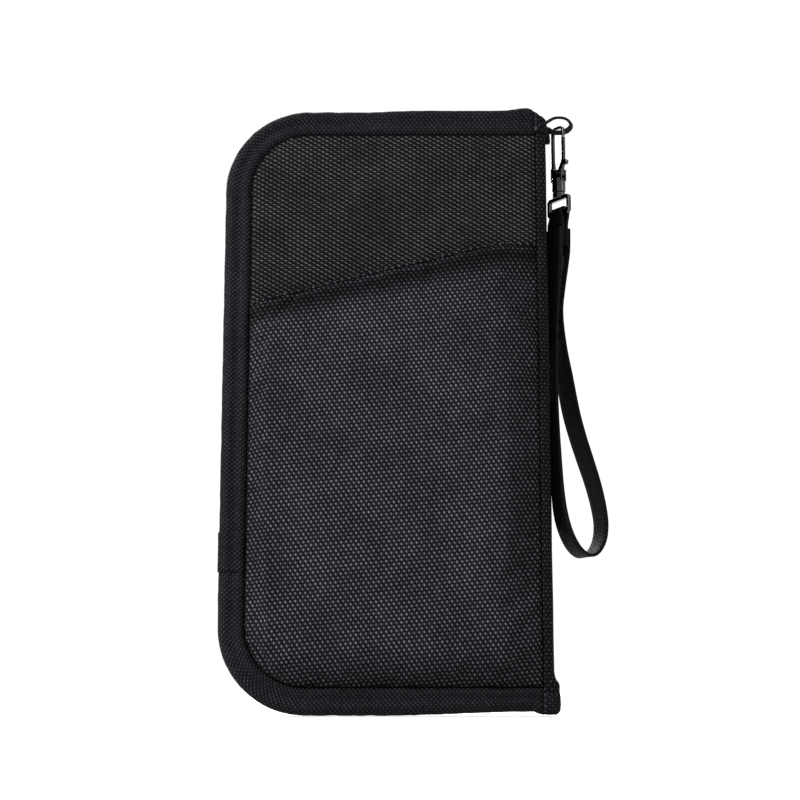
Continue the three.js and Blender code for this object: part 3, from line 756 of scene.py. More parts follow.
def walk(points):
    """A function that gives the place and direction at a distance along a line."""
    lengths = running_lengths(points)

    def at(distance):
        distance = min(max(distance, 0.0), lengths[-1])
        i = 0
        while i < len(lengths) - 2 and lengths[i + 1] < distance:
            i += 1
        step = points[i + 1] - points[i]
        share = (distance - lengths[i]) / (lengths[i + 1] - lengths[i])
        return points[i] + step * share, step.normalized()

    return at, lengths[-1]


def sew(name, node, lines, facing, stitch, gap, radius=THREAD_RADIUS):
    """Separate stitches on a node along each line, dipping into the cloth at both ends.

    facing is the direction that the cloth's surface looks to."""
    facing = Vector(facing).normalized()
    mesh = ([], [], [])
    across = [side * radius for side in range(7)]
    along = [share * stitch for share, _, _ in STITCH_PROFILE]
    for line in lines:
        at, total = walk(line)
        count = max(1, int((total + gap) / (stitch + gap)))
        pitch = total / count
        for number in range(count):
            start = number * pitch + gap / 2
            rings = []
            for share, lift, girth in STITCH_PROFILE:
                centre, direction = at(start + share * (pitch - gap))
                centre = centre + facing * (lift * radius)
                beside = direction.cross(facing).normalized()
                rings.append(circle(centre, beside, facing, radius * girth))
            add_rings(mesh, rings, across, along)
    return add_to(make_object(name, *mesh, thread), node)


def smooth_line(points, steps):
    """A smooth curve through points, with so many steps between each pair."""
    ends = [2 * points[0] - points[1], *points, 2 * points[-1] - points[-2]]
    line = []
    for i in range(1, len(ends) - 2):
        a, b, c, d = ends[i - 1 : i + 3]
        slope = c - a
        bend = 2 * a - 5 * b + 4 * c - d
        twist = 3 * b - a - 3 * c + d
        for step in range(steps):
            t = step / steps
            line.append(0.5 * (2 * b + slope * t + bend * t**2 + twist * t**3))
    line.append(ends[-2])
    return line


# ---- wrist strap and tab

STRAP_WIDTH = 10 * MM
STRAP_THICKNESS = 1.2 * MM

# Middle line of the loop in millimetres: out from the spine's face, back from the zip
# plane, and up; then how far its width is turned from the X axis, in degrees. It starts
# and ends on the tab's two faces.
STRAP_ROUTE = [
    (6.9, 1.5, 188.6, 58),
    (6.8, 1.4, 180, 60),
    (6.1, 1.7, 174, 61),
    (4.9, 2.7, 164.5, 63.5),
    (4.3, 3.1, 155, 68),
    (5.2, 3.4, 142, 64),
    (7.2, 4.2, 129.5, 58),
    (9.4, 5.3, 117, 56),
    (12, 6.4, 107, 57),
    (14.9, 7.7, 98, 58),
    (17.9, 8.8, 88.6, 61),
    (20, 9.7, 80, 64),
    (20.9, 9.9, 72.5, 66),
    (19.9, 9, 66, 66),
    (17, 7, 61.4, 66),
    (13.3, 4.4, 60.2, 66),
    (9.4, 1.4, 62.8, 66),
    (6.3, -0.8, 68, 66),
    (4.2, -2, 75, 67),
    (3.1, -2.3, 84, 70),
    (2.6, -2.2, 96, 74),
    (2.3, -1.6, 112, 79),
    (2.2, -1, 130, 81),
    (2.4, -0.8, 148, 78),
    (3, -1.1, 163, 72),
    (3.3, -1.6, 174, 64),
    (3.5, -1.9, 181, 61),
    (3.6, -1.9, 188.6, 59),
]


def webbing_section(width, thickness):
    """A flat band's section with rounded edges, listed round it: across, then through."""
    half = width / 2
    deep = thickness / 2
    shares = (-0.94, -0.5, 0.0, 0.5, 0.94)
    top = [(half * share, deep) for share in shares]
    bottom = [(half * share, -deep) for share in reversed(shares)]
    return [*top, (half, 0.0), *bottom, (-half, 0.0)]


def band(name, centres, widths, section, material, shares=None):
    """A band along centres; widths gives the direction of its width at each of them, and
    shares how much of the section's width it has there."""
    shares = shares or [1.0] * len(centres)
    rings = []
    for i, (centre, width) in enumerate(zip(centres, widths)):
        before = centres[max(0, i - 1)]
        after = centres[min(len(centres) - 1, i + 1)]
        tangent = (after - before).normalized()
        across = (width - tangent * width.dot(tangent)).normalized()
        through = tangent.cross(across)
        rings.append([centre + across * (a * shares[i]) + through * t for a, t in section])
    return skin(name, rings, material, closed=True, capped=True)


def make_strap():
    steps = 5
    points = [SPINE_MIDDLE + Vector(place) * MM for *place, _ in STRAP_ROUTE]
    centres = smooth_line(points, steps)
    turns = [Vector((turn, 0, 0)) for *_, turn in STRAP_ROUTE]
    angles = [-math.radians(turn.x) for turn in smooth_line(turns, steps)]
    widths = [Vector((math.cos(angle), math.sin(angle), 0)) for angle in angles]
    section = webbing_section(STRAP_WIDTH, STRAP_THICKNESS)
    piece = band("wrist_strap_webbing", centres, widths, section, strap_webbing)
    return dress(piece, "wrist_strap"), centres


# ---- hanging loop and clasp

HANG_X = SPINE_X + 5.8 * MM
HANG_Z = 226.8 * MM
RING_TURN = math.radians(-56)

# The hanging loop's middle line and its tail's, in millimetres: out from the spine's face,
# and up. The loop goes up from the spine, round its far end and back through the hook.
LOOP_ROUTE = [
    (-1.6, 231.6),
    (1.4, 233.6),
    (4.4, 235.3),
    (7.4, 235.5),
    (9.8, 234.6),
    (11.2, 232.4),
    (10.2, 230.6),
    (8.2, 229.5),
    (5.8, 229.2),
    (3.5, 229.4),
    (1.6, 230.4),
    (-1.6, 230.6),
]
TAIL_ROUTE = [(0.5, 231.4), (1.1, 229.6), (1.5, 227.4), (1.7, 224.8)]


def make_hang_loop():
    """A folded ribbon that narrows where it lies in the hook, and its sewn tail."""
    points = smooth_line([SPINE_MIDDLE + Vector((x, 0, z)) * MM for x, z in LOOP_ROUTE], 5)
    lean = math.radians(20)
    widths = []
    for before, after in zip([points[0], *points], [*points[1:], points[-1]]):
        sideways = (after - before).normalized().cross(Vector((0, 1, 0)))
        widths.append(Vector((0, math.cos(lean), 0)) + sideways * math.sin(lean))
    shares = []
    for point in points:
        in_hook = 1 - ramp(abs(point.x - HANG_X), 1.8 * MM, 3.6 * MM)
        in_hook *= 1 - ramp(point.z, 231 * MM, 233 * MM)
        shares.append(1 - 0.32 * in_hook)
    section = webbing_section(2.6 * MM, 1.1 * MM)
    loop = band("hang_loop_ribbon", points, widths, section, loop_ribbon, shares)
    dress(loop, "hang_loop")

    points = smooth_line([SPINE_MIDDLE + Vector((x, 0, z)) * MM for x, z in TAIL_ROUTE], 4)
    widths = [Vector((0, 1, 0))] * len(points)
    tail = band("hang_loop_tail", points, widths, webbing_section(3.4 * MM, 1.7 * MM), loop_ribbon)
    return [loop, add_to(tail, "hang_loop")]


def make_clasp():
    pieces = {
        "clasp_body": rounded_copy("clasp_body", "clasp_casting", gunmetal, 0.16 * MM, 5),
        "clasp_gate": rounded_copy("clasp_gate", "clasp_lever", gunmetal, 0.12 * MM, 4),
        "gate_rivet": softened_plate("gate_rivet", "clasp_rivet", gunmetal, 0.15 * MM),
        "gate_spring": softened_plate("gate_spring", "clasp_spring", gunmetal, 0.1 * MM),
        "swivel_ring": rounded_copy("swivel_ring", "swivel_casting", gunmetal, 0.14 * MM, 6),
    }
    return [dress(piece, node) for node, piece in pieces.items()]


def make_strap_tab():
    """The short tab folded over the ring's bar, narrowed where it passes through."""
    bar_z = -31.4 * MM
    fold_radius = 1.9 * MM
    leg_y = 0.95 * MM
    bottom = bar_z - 13.4 * MM
    width = 9.6 * MM
    narrowed = 2.4 * MM
    leg = [
        (leg_y, bottom),
        (leg_y, bottom + 4 * MM),
        (leg_y, bar_z - 5.6 * MM),
        (leg_y + 0.4 * MM, bar_z - 2.6 * MM),
    ]
    turns = 8
    angles = [math.pi * i / turns for i in range(turns + 1)]
    fold = [(fold_radius * math.cos(a), bar_z + fold_radius * math.sin(a)) for a in angles]
    other_leg = [(-y, z) for y, z in reversed(leg)]
    points = smooth_line([Vector((0, y, z)) for y, z in [*leg, *fold, *other_leg]], 2)
    turned = Matrix.Rotation(RING_TURN, 4, "Z")
    hung = Matrix.Translation((HANG_X, ZIP_Y, HANG_Z)) @ turned

    def place(point):
        """Out of the ring's own frame: the legs hang a little towards the spine."""
        aside = 0.7 * MM * (1 - ramp(point.z, bar_z - 5 * MM, bar_z - 1 * MM))
        return hung @ point - Vector((aside, 0, 0))

    rings = []
    across = Vector((1, 0, 0))
    for i, centre in enumerate(points):
        tangent = (points[min(len(points) - 1, i + 1)] - points[max(0, i - 1)]).normalized()
        through = tangent.cross(across)
        here = width - narrowed * ramp(centre.z, bar_z - 5 * MM, bar_z)
        section = webbing_section(here, STRAP_THICKNESS)
        rings.append([place(centre + across * a + through * t) for a, t in section])
    tab = skin("strap_tab_webbing", rings, strap_webbing, closed=True, capped=True)
    dress(tab, "strap_tab")

    surface_y = -leg_y - STRAP_THICKNESS / 2
    rows = []
    for above in (7.5 * MM, 8.9 * MM):
        rows.append([place(Vector((x, surface_y, bottom + above))) for x in (-4 * MM, 4 * MM)])
    outside = turned.to_3x3() @ Vector((0, -1, 0))
    seams = sew("strap_tab_stitches", "strap_tab", rows, outside, 1.5 * MM, 0.5 * MM)
    return [tab, seams]


strap, strap_line = make_strap()
loop_pieces = make_hang_loop()
clasp_pieces = make_clasp()
tab_pieces = make_strap_tab()
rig.cord(
    strap,
    exit=strap_line[0],
    length=running_lengths(strap_line)[-1],
    diameter=STRAP_WIDTH,
    far_end="object",
    stiffness="limp",
    lay="hanging",
    path=strap_line,
    with_pieces=[*tab_pieces, *clasp_pieces, *loop_pieces],
)


# ---- the covers' outline


def within(value, most):
    return min(most, max(0.0, value))


def edge_path(inset, spacing, start=0.0, short=0.0, length=None):
    """Points along the zipped sides from the spine's top to its bottom, each with the
    outward direction and its distance from the top. The path begins at start, and runs
    for length or until it is short of the bottom."""
    radius = CORNER - inset
    centre_x = LEFT + CORNER
    straight = SEAM_X - centre_x
    quarter = radius * math.pi / 2
    side = TOP - 2 * CORNER
    total = 2 * straight + 2 * quarter + side
    length = length or total - start - short
    count = max(2, round(length / spacing))
    path = []
    for i in range(count + 1):
        s = start + length * i / count
        past_top = s - straight
        past_side = past_top - quarter - side
        angle = math.pi / 2 + (within(past_top, quarter) + within(past_side, quarter)) / radius
        x = max(centre_x, SEAM_X - s) + max(0.0, past_side - quarter)
        centre = Vector((x, 0, TOP - CORNER - within(past_top - quarter, side)))
        outward = Vector((math.cos(angle), 0, math.sin(angle)))
        path.append((centre + outward * radius, outward, s))
    return path


def edge_distance(x, z):
    """How far a point lies inside the outline of the three zipped sides."""
    corner_x = LEFT + CORNER
    if x < corner_x and (z < CORNER or z > TOP - CORNER):
        corner_z = CORNER if z < CORNER else TOP - CORNER
        return CORNER - math.hypot(x - corner_x, z - corner_z)
    return min(x - LEFT, TOP - z, z)


def left_edge(z, inset):
    """X of the outline's left side at a height, for an outline inset from the edge."""
    outside = max(CORNER - z, z - (TOP - CORNER))
    if outside > 0:
        reach = (CORNER - inset) ** 2 - outside**2
        return LEFT + CORNER - math.sqrt(max(0.0, reach))
    return LEFT + inset


# ---- covers: outer side


def edge_section(out=0.0):
    """Across the edge strip in millimetres, round the outer edge and in to the zip: how
    far outward, and how deep from the zip plane. The strip dips in the middle of its
    width, where it is sewn down. out is how far it stands outside the plain strip."""
    top = HALF_BODY / MM
    lip = LIP_HALF_GAP / MM
    wide = FACE_INSET / MM - 0.35
    return [
        (-wide, 7.3),
        (-wide - 0.05, top - 2.2),
        (-wide + 0.05, top - 1.3),
        (-wide + 0.5, top - 0.6 + out),
        (-0.86 * wide, top - 0.2 + out),
        (-0.74 * wide, top - 0.3 + out),
        (-0.62 * wide, top - 0.85 + out),
        (-0.52 * wide, top - 1.05 + out),
        (-0.40 * wide, top - 0.45 + out),
        (-0.28 * wide, top - 0.3 + out),
        (-1.6 + out, top - 0.95 + out),
        (-0.6 + out, top - 2.2 + out),
        (-0.05 + out, top - 3.8),
        (out, lip + 1.8),
        (-0.5 + out, lip + 0.45),
        (-1.5, lip + 0.02),
        (-3.0, lip + 0.05),
        (-4.0, lip + 0.35),
        (-4.1, 7.3),
    ]


def shape_ends(point):
    """The top edge rises towards the spine, swells and slopes down into its corner; the
    bottom edge rises too and drops again at its bound end."""
    from_spine = (point.x - SPINE_X) / MM
    swell = 0.7 * ramp(from_spine, -72, -50) + 1.1 * math.exp(-(((from_spine + 6.5) / 6.5) ** 2))
    fall = 4.8 * ramp(from_spine, -7, 0.5)
    rise = 1.45 * ramp(from_spine, -62, -8) - 1.15 * ramp(from_spine, -6.8, -5)
    at_top = ramp(point.z, TOP - 11 * MM, TOP - 3 * MM)
    at_bottom = 1 - ramp(point.z, 3 * MM, 10 * MM)
    up = (swell - fall) * at_top + rise * at_bottom
    return Vector((point.x, point.y, point.z + up * MM))


def edge_rings(side, path, section, pucker):
    """The strip's sections along a path, swelling and shrinking unevenly by pucker."""
    core_out, core_deep = -4, 6
    rings = []
    for point, outward, s in path:
        ring = []
        for number, (out, depth) in enumerate(section):
            ripple = 0.6 * wobble(s, number * 1.3 * MM, side, 5 * MM, 3.1)
            ripple += 0.4 * wobble(s, number * 2.0 * MM, side, 2.2 * MM, 7.7)
            from_core = math.hypot(out - core_out, depth - core_deep)
            is_free = 2 < number < 14
            swell = 1 + is_free * pucker * ripple / max(1.0, from_core)
            o = core_out + (out - core_out) * swell
            d = core_deep + (depth - core_deep) * swell
            spot = point + outward * (o * MM) + Vector((0, ZIP_Y + side * d * MM, 0))
            ring.append(shape_ends(spot))
        rings.append(ring)
    return rings


def make_edge_strip(prefix, side):
    node = f"{prefix}_edge_strip"
    rings = edge_rings(side, edge_path(0, 1.6 * MM), edge_section(), 0.22)
    strip = skin(f"{prefix}_binding", rings, edge_nylon, closed=True, capped=True)
    dress(strip, node)

    # The strip's far end laps over its near end, on the zip side.
    join_z = 68 * MM
    straight = SEAM_X - LEFT - CORNER
    join_start = straight + CORNER * math.pi / 2 + TOP - CORNER - join_z
    path = edge_path(0, 1.15 * MM, join_start, length=15 * MM)
    rings = edge_rings(side, path, edge_section(0.42)[1:-1], 0.2)
    lap = thicken(skin(f"{prefix}_binding_lap", rings, edge_nylon), 0.45 * MM)
    add_to(lap, node)

    depth = Vector((0, ZIP_Y + side * (HALF_BODY - 0.85 * MM), 0))
    path = edge_path(FACE_INSET, 1.5 * MM, start=1 * MM, short=1 * MM)
    ditch = [point + depth for point, _, _ in path]
    name = f"{prefix}_binding_stitches"
    sew(name, node, [ditch], (0, side, 0), 2.4 * MM, 0.7 * MM)


def make_panel(prefix, side):
    """The cover's outer cloth: it dips into the groove at the edge strip and the seam."""
    inset = FACE_INSET - 0.2 * MM
    right = SEAM_X + 0.3 * MM

    def place(u, v):
        z = inset + (TOP - 2 * inset) * v
        left = left_edge(z, inset)
        x = left + (right - left) * u
        dip = 1 - ramp(min(edge_distance(x, z) - inset, right - x), 0, 3.2 * MM)
        soft = 0.10 * wobble(x, 0, z, 34 * MM, side + 5) + 0.04 * wobble(x, 0, z, 9 * MM, side)
        depth = HALF_BODY - (0.12 + 0.85 * dip - soft * (1 - dip)) * MM
        return Vector((x, ZIP_Y + side * depth, z))

    piece = grid(f"{prefix}_outer_cloth", 90, 150, place, panel_nylon)
    thicken(piece, 0.7 * MM, turned=side > 0)
    dress(piece, f"{prefix}_panel")
    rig.padded(piece, fill=0.8)

    board = softened_plate(f"{prefix}_board", f"{prefix}_foam_board", board_foam, 0.8 * MM)
    dress(board, f"{prefix}_board")
    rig.padded(board, fill=1.0)


# ---- slanted front pocket

MOUTH_MIDDLE = Vector((8, 170.5)) * MM
MOUTH_SLOPE = 0.25
MOUTH_LEVELS_AT = 40 * MM
MOUTH_HEM = 8.5 * MM

# The pocket's soft ridges and hollows in millimetres: where each starts and ends across
# and up, then its width and its height.
POCKET_FOLDS = [
    ((33, 164), (53, 143), 4.5, 0.8),
    ((26, 166), (45, 138), 6, -0.6),
    ((17, 174), (14, 158), 3.2, -0.6),
    ((50, 181), (47, 164), 3.6, -0.7),
    ((54, 150), (26, 96), 9, 0.5),
    ((-50, 146), (-22, 112), 9, 0.4),
    ((-46, 60), (-10, 30), 10, -0.4),
    ((52, 70), (20, 24), 10, 0.5),
]


def mouth_height(x):
    """The slanted mouth's height at x: straight on the zip side, levelling to the spine."""
    level = 12 * MM
    past = x - MOUTH_LEVELS_AT
    bend = (past + math.sqrt(past**2 + level**2 / 4)) / 2
    return MOUTH_MIDDLE.y + MOUTH_SLOPE * (x - bend * 0.85 - MOUTH_MIDDLE.x)


def settle_cloth(piece, columns, rows):
    """Lets the sewn cloth find its own wrinkles in a short simulation: it is a little
    larger than the space between its seams. It is worked ten times larger than life."""
    scale = 10
    limit = 1.3 * MM * scale
    steps = 14
    start = [vertex.co * scale for vertex in piece.data.vertices]
    for vertex, point in zip(piece.data.vertices, start):
        vertex.co = point
    sewn = piece.vertex_groups.new(name="sewn")
    for j in range(rows + 1):
        for i in range(columns + 1):
            if j == 0 or i in (0, columns):
                sewn.add([j * (columns + 1) + i], 1.0, "REPLACE")
            elif j == rows:
                sewn.add([j * (columns + 1) + i], 0.5, "REPLACE")
    settings = piece.modifiers.new("cloth", "CLOTH").settings
    settings.quality = 4
    settings.mass = 0.4
    settings.vertex_group_mass = sewn.name
    settings.pin_stiffness = 4
    settings.bending_stiffness = 3
    settings.shrink_min = -0.02
    settings.use_pressure = True
    settings.uniform_pressure_force = 1.5
    settings.effector_weights.gravity = 0
    for step in range(1, steps + 1):
        bpy.context.scene.frame_set(step)
    apply_modifiers(piece)
    bpy.context.scene.frame_set(1)
    lowest = FRONT_FACE - 0.3 * MM
    for vertex, point in zip(piece.data.vertices, start):
        move = vertex.co - point
        move *= min(1.0, limit / max(move.length, limit))
        vertex.co = (point + move) / scale
        vertex.co.y = min(vertex.co.y, max(lowest, point.y / scale))


def fold_height(x, z, start, end, width, height):
    """How high a soft fold stands at a point, in millimetres."""
    a, b = Vector(start), Vector(end)
    point = Vector((x / MM, z / MM))
    share = min(1.0, max(0.0, (point - a).dot(b - a) / (b - a).length_squared))
    gap = (point - a - (b - a) * share).length / width
    return height * math.exp(-gap * gap) * math.sin(math.pi * (0.15 + 0.7 * share))


def make_slash_pocket():
    """The pocket's cloth, sewn on three sides, puffed over what it holds, with its mouth
    folded in."""
    inset = FACE_INSET + 0.1 * MM
    right = SEAM_X - 0.7 * MM
    rise = FRONT_FACE - POCKET_FACE - 1.0 * MM

    def spot(u, v):
        z = inset
        for _ in range(3):
            left = left_edge(z, inset)
            x = left + (right - left) * u
            z = inset + (mouth_height(x) - inset) * v
        return x, z

    def margins(x, z):
        """Millimetres from the pocket's left, right and bottom seams and its mouth."""
        gaps = (x - left_edge(z, inset), right - x, z - inset, mouth_height(x) - z)
        return [gap / MM for gap in gaps]

    def depth_at(x, z):
        from_left, from_right, from_bottom, below = margins(x, z)
        puff = ramp(from_left, -2, 9) * ramp(from_right, -2, 13) * ramp(from_bottom, -3, 16)
        pull = 0.6 * (1 - ramp(below, 6, 13))
        folds = sum(fold_height(x, z, *fold) for fold in POCKET_FOLDS)
        folds += 0.24 * wobble(x, 0, z, 30 * MM, 4.2) + 0.08 * wobble(x, 0, z, 11 * MM, 9.1)
        gathers = 0.35 * wobble(x, 0, z * 0.3, 6 * MM, 2.2)
        puckers = 0.3 * wobble(x * 0.2, 0, z, 4.5 * MM, 5.5)
        folds += gathers * (1 - ramp(below, 3, 16))
        folds += puckers * (1 - ramp(min(from_left, from_right), 4, 16))
        from_seam = min(from_left, from_right, from_bottom)
        lift = 0.35 * MM + rise * puff + (folds - pull * puff) * ramp(from_seam, 0, 5) * MM
        sewn_in = 0.8 * MM * (1 - ramp(from_seam, 0, 2.5))
        return FRONT_FACE - max(0.3 * MM, lift) + sewn_in

    def place(u, v):
        x, z = spot(u, v)
        return Vector((x, depth_at(x, z), z))

    def painted_shade_at(x, z):
        """Painted shade where the cloth turns from the light: at its seams and along the hem, less on the fold's edge
        at the mouth, so that it looks lit.
        """
        from_left, from_right, from_bottom, below = margins(x, z)
        hemmed = 1 - ramp(below * MM, 0.35 * MOUTH_HEM, 1.7 * MOUTH_HEM)
        hemmed *= 0.62 + 0.38 * ramp(below, 1.2, 3.2)
        at_left = 0.35 * (1 - ramp(from_left, 2, 20))
        at_right = 0.42 * (1 - ramp(from_right, 3, 26))
        at_bottom = 0.52 * (1 - ramp(from_bottom, 2, 16))
        return max(hemmed, at_left, at_right, at_bottom)

    columns, rows = 110, 150
    piece = grid("pocket_cloth", columns, rows, place, pocket_nylon)
    mark_painted_shade(piece, [painted_shade_at(vertex.co.x, vertex.co.z) for vertex in piece.data.vertices])
    settle_cloth(piece, columns, rows)
    top_edge = [vertex.co.copy() for vertex in piece.data.vertices][-(columns + 1) :]
    thicken(piece, 0.6 * MM)
    dress(piece, "slash_pocket")
    width = right - LEFT - inset
    length = mouth_height(right) - inset
    middle_length = mouth_height((LEFT + right) / 2) - inset
    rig.sheet(
        piece,
        flat=(width, length),
        held="stretched",
        rests_on=["front_outer_cloth"],
        area=width * middle_length,
    )

    # The mouth's fold: a rounded roll along the top edge, turned down inside.
    radius = 0.62 * MM
    angles = [math.pi * step / 8 for step in range(9)]
    section = [(radius * (1 - math.cos(a)), radius * math.sin(a) - 0.1 * MM) for a in angles]
    section += [(2 * radius, -0.5 * MOUTH_HEM), (1.7 * radius, -MOUTH_HEM)]
    rings = [[edge + Vector((0, y, z)) for y, z in section] for edge in top_edge]
    roll = skin("pocket_mouth_fold", rings, pocket_nylon)
    # The mouth's fold has an even painted shade.
    mark_painted_shade(roll, [0.6] * len(roll.data.vertices))
    thicken(roll, 0.35 * MM)
    add_to(roll, "slash_pocket")

    line = []
    for i in range(101):
        x = spot(0.01 + 0.98 * i / 100, 1.0)[0]
        z = mouth_height(x) - MOUTH_HEM
        line.append(Vector((x, depth_at(x, z) - 0.02 * MM, z)))
    name = "pocket_mouth_stitches"
    sew(name, "slash_pocket", [line], (0, -1, 0), 2.3 * MM, 0.7 * MM)


# ---- zip


def make_zip_row(prefix, side):
    """One row of coil teeth: bent bars whose heads meet the other row's in turn."""
    pitch = 1.5 * MM
    radius = 0.36 * MM
    half_step = 0.0 if side > 0 else pitch / 2
    first = half_step + 0.3 * MM
    top_skip = SEAM_X - high("front_zip_coil").x
    path = edge_path(5 * MM, 0.5 * MM, start=top_skip, short=2 * MM)
    at, total = walk([point for point, _, _ in path])
    # A tooth's middle line in millimetres: depth from the zip plane, and out. The middle
    # point is its head, which is thicker.
    arch = [(3.0, -0.62), (1.3, -0.78), (0.15, -0.8), (-0.35, 0.0)]
    arch += [(deep, -out) for deep, out in reversed(arch[:-1])]
    head = len(arch) // 2
    mesh = ([], [], [])
    for number in range(int(total / pitch)):
        centre, direction = at(number * pitch + first)
        outward = Vector((direction.z, 0, -direction.x))
        route = []
        for deep, out in arch:
            route.append(centre + Vector((0, ZIP_Y + side * deep * MM, 0)) + outward * (out * MM))
        rings = []
        for i, spot in enumerate(route):
            tangent = route[min(len(route) - 1, i + 1)] - route[max(0, i - 1)]
            up = tangent.cross(direction).normalized()
            girth = radius * (1.25 if i == head else 1.0)
            rings.append(circle(spot, direction, up, girth))
        add_rings(mesh, rings, [0.0] * 7, [0.0] * len(route))
    row = make_object(f"{prefix}_zip_teeth", *mesh, coil_plastic)
    dress(row, f"{prefix}_zip_coil")


def make_zip_tape(prefix, side):
    """The tape from the coil to the lining, with a raised cord beside the coil."""
    # Across the tape in millimetres: in from the outer edge, and deep from the zip plane.
    section = [(4.65, 2.2), (4.6, 2.9), (4.68, 3.2), (4.7, 4.5), (4.75, 5.6), (4.9, 6.35)]
    rings = []
    for point, outward, _ in edge_path(0, 1.6 * MM)[3:-1]:
        spots = [(outward * -inward, ZIP_Y / MM + side * deep) for inward, deep in section]
        rings.append([point + (across + Vector((0, y, 0))) * MM for across, y in spots])
    tape = thicken(skin(f"{prefix}_zip_band", rings, tape_twill), 0.5 * MM)
    dress(tape, f"{prefix}_zip_tape")
    stop = softened_plate(f"{prefix}_zip_stop", f"{prefix}_zip_clip", black_metal, 0.25 * MM)
    dress(stop, f"{prefix}_zip_stop")


def make_sliders():
    for node, name, voxel in (
        ("zip_slider", "zip_slider_casting", 0.16 * MM),
        ("zip_pull", "zip_pull_plate", 0.14 * MM),
        ("coin_zip_slider", "coin_slider_casting", 0.14 * MM),
        ("coin_zip_pull", "coin_pull_plate", 0.12 * MM),
    ):
        dress(rounded_copy(node, name, black_metal, voxel, 4), node)


# ---- spine


def spine_profile(side):
    """Round the spine from the cover's seam to the spine's middle, one side of it."""
    face = HALF_BODY
    proud = 0.25 * MM
    points = [
        (SEAM_X - 0.2 * MM, face - 0.45 * MM),
        (SEAM_X + 0.35 * MM, face + 0.02 * MM),
        (SEAM_X + 1.2 * MM, face - 0.02 * MM),
        (SPINE_X - 1.9 * MM, face - 0.35 * MM),
        (SPINE_X - 0.9 * MM, face - 1.1 * MM),
        (SPINE_X - 0.3 * MM, face - 2.2 * MM),
        (SPINE_X - 0.02 * MM, face - 3.8 * MM),
        (SPINE_X + proud, face * 0.45),
        (SPINE_X + proud * 0.6, 0.0),
    ]
    return smooth_line([Vector((x, ZIP_Y + side * y, 0)) for x, y in points], 3)


def flare_foot(point):
    """The spine's cloth bulges out over the bound zip end at its foot."""
    bulge = 1.9 * (1 - ramp(point.z, 9 * MM, 16 * MM))
    rounding = 1.3 * (1 - ramp(point.z, -1 * MM, 2.5 * MM))
    share = ramp(point.x, SEAM_X, SPINE_X)
    return point + Vector(((bulge - rounding) * share * MM, 0, 0))


def make_spine_cloth(prefix, side, profile):
    rows = 120
    margin = 3 * MM
    rings = []
    for j in range(rows + 1):
        z = margin + (TOP - 2 * margin) * j / rows
        ring = []
        for i, point in enumerate(profile):
            soft = 0.16 * wobble(i * 1.1 * MM, side, z, 16 * MM, 6.3) * min(1.0, i / 5)
            ring.append(flare_foot(shape_ends(point + Vector((soft * MM, 0, z)))))
        rings.append(ring)
    return thicken(skin(f"{prefix}_spine_cloth", rings, spine_nylon), 0.5 * MM, turned=side > 0)


def make_spine_binding(prefix, side, profile, where):
    """The binding folded over the cloth at the spine's top or bottom."""
    # Up and over in millimetres: proud of the cloth, and in from its end.
    section = [(0.25, 8.3), (0.28, 7.6), (0.5, 7.0), (0.62, 4.0), (0.5, 1.6), (0.1, 0.55)]
    section += [(-0.7, 0.2), (-1.7, 0.5), (-2.2, 1.6), (-2.3, 4.0), (-2.3, 7.2)]
    rings = []
    for i, point in enumerate(profile):
        tangent = profile[min(len(profile) - 1, i + 1)] - profile[max(0, i - 1)]
        normal = Vector((tangent.y, -tangent.x, 0)).normalized() * -side
        lowered = 1.1 * MM * (1 - ramp(i, 6, 13))
        ring = []
        for proud, inward in section:
            z = TOP - lowered - inward * MM if where == "top" else inward * MM
            spot = point + normal * (proud * 0.75 * MM) + Vector((0, 0, z))
            ring.append(flare_foot(shape_ends(spot)))
        rings.append(ring)
    return thicken(skin(f"{prefix}_spine_binding_{where}", rings, edge_nylon), 0.35 * MM)


def make_spine():
    for prefix, side in COVERS:
        profile = spine_profile(side)
        cloth = make_spine_cloth(prefix, side, profile)
        caps = [make_spine_binding(prefix, side, profile, where) for where in ("top", "bottom")]
        face_y = ZIP_Y + side * HALF_BODY
        start = (SEAM_X + 0.8 * MM, face_y, 0)
        end = (SPINE_X, face_y - side * 3.2 * MM, 0)
        for piece in (cloth, *caps):
            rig.blend(piece, f"{prefix}_cover", "spine", start, end)
            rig.slot(piece, "edge_nylon")
        if side < 0:
            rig.replaces(cloth, "spine_panel")

        seam = Vector((SEAM_X + 1.0 * MM, face_y - side * 0.16 * MM, 0))
        line = [seam + Vector((0, 0, z)) for z in (9 * MM, TOP - 9 * MM)]
        name, node = f"{prefix}_spine_stitches", f"{prefix}_edge_strip"
        sew(name, node, [line], (0, side, 0), 2.6 * MM, 0.8 * MM)

    for end in ("top", "bottom"):
        node = f"zip_end_{end}"
        piece = rounded_copy(node, f"zip_end_fold_{end}", edge_nylon, 0.4 * MM, 10)
        for vertex in piece.data.vertices:
            vertex.co = shape_ends(vertex.co)
        map_flat(piece, lambda point: (point.x + point.y, point.z))
        dress(piece, node)


# ---- inside


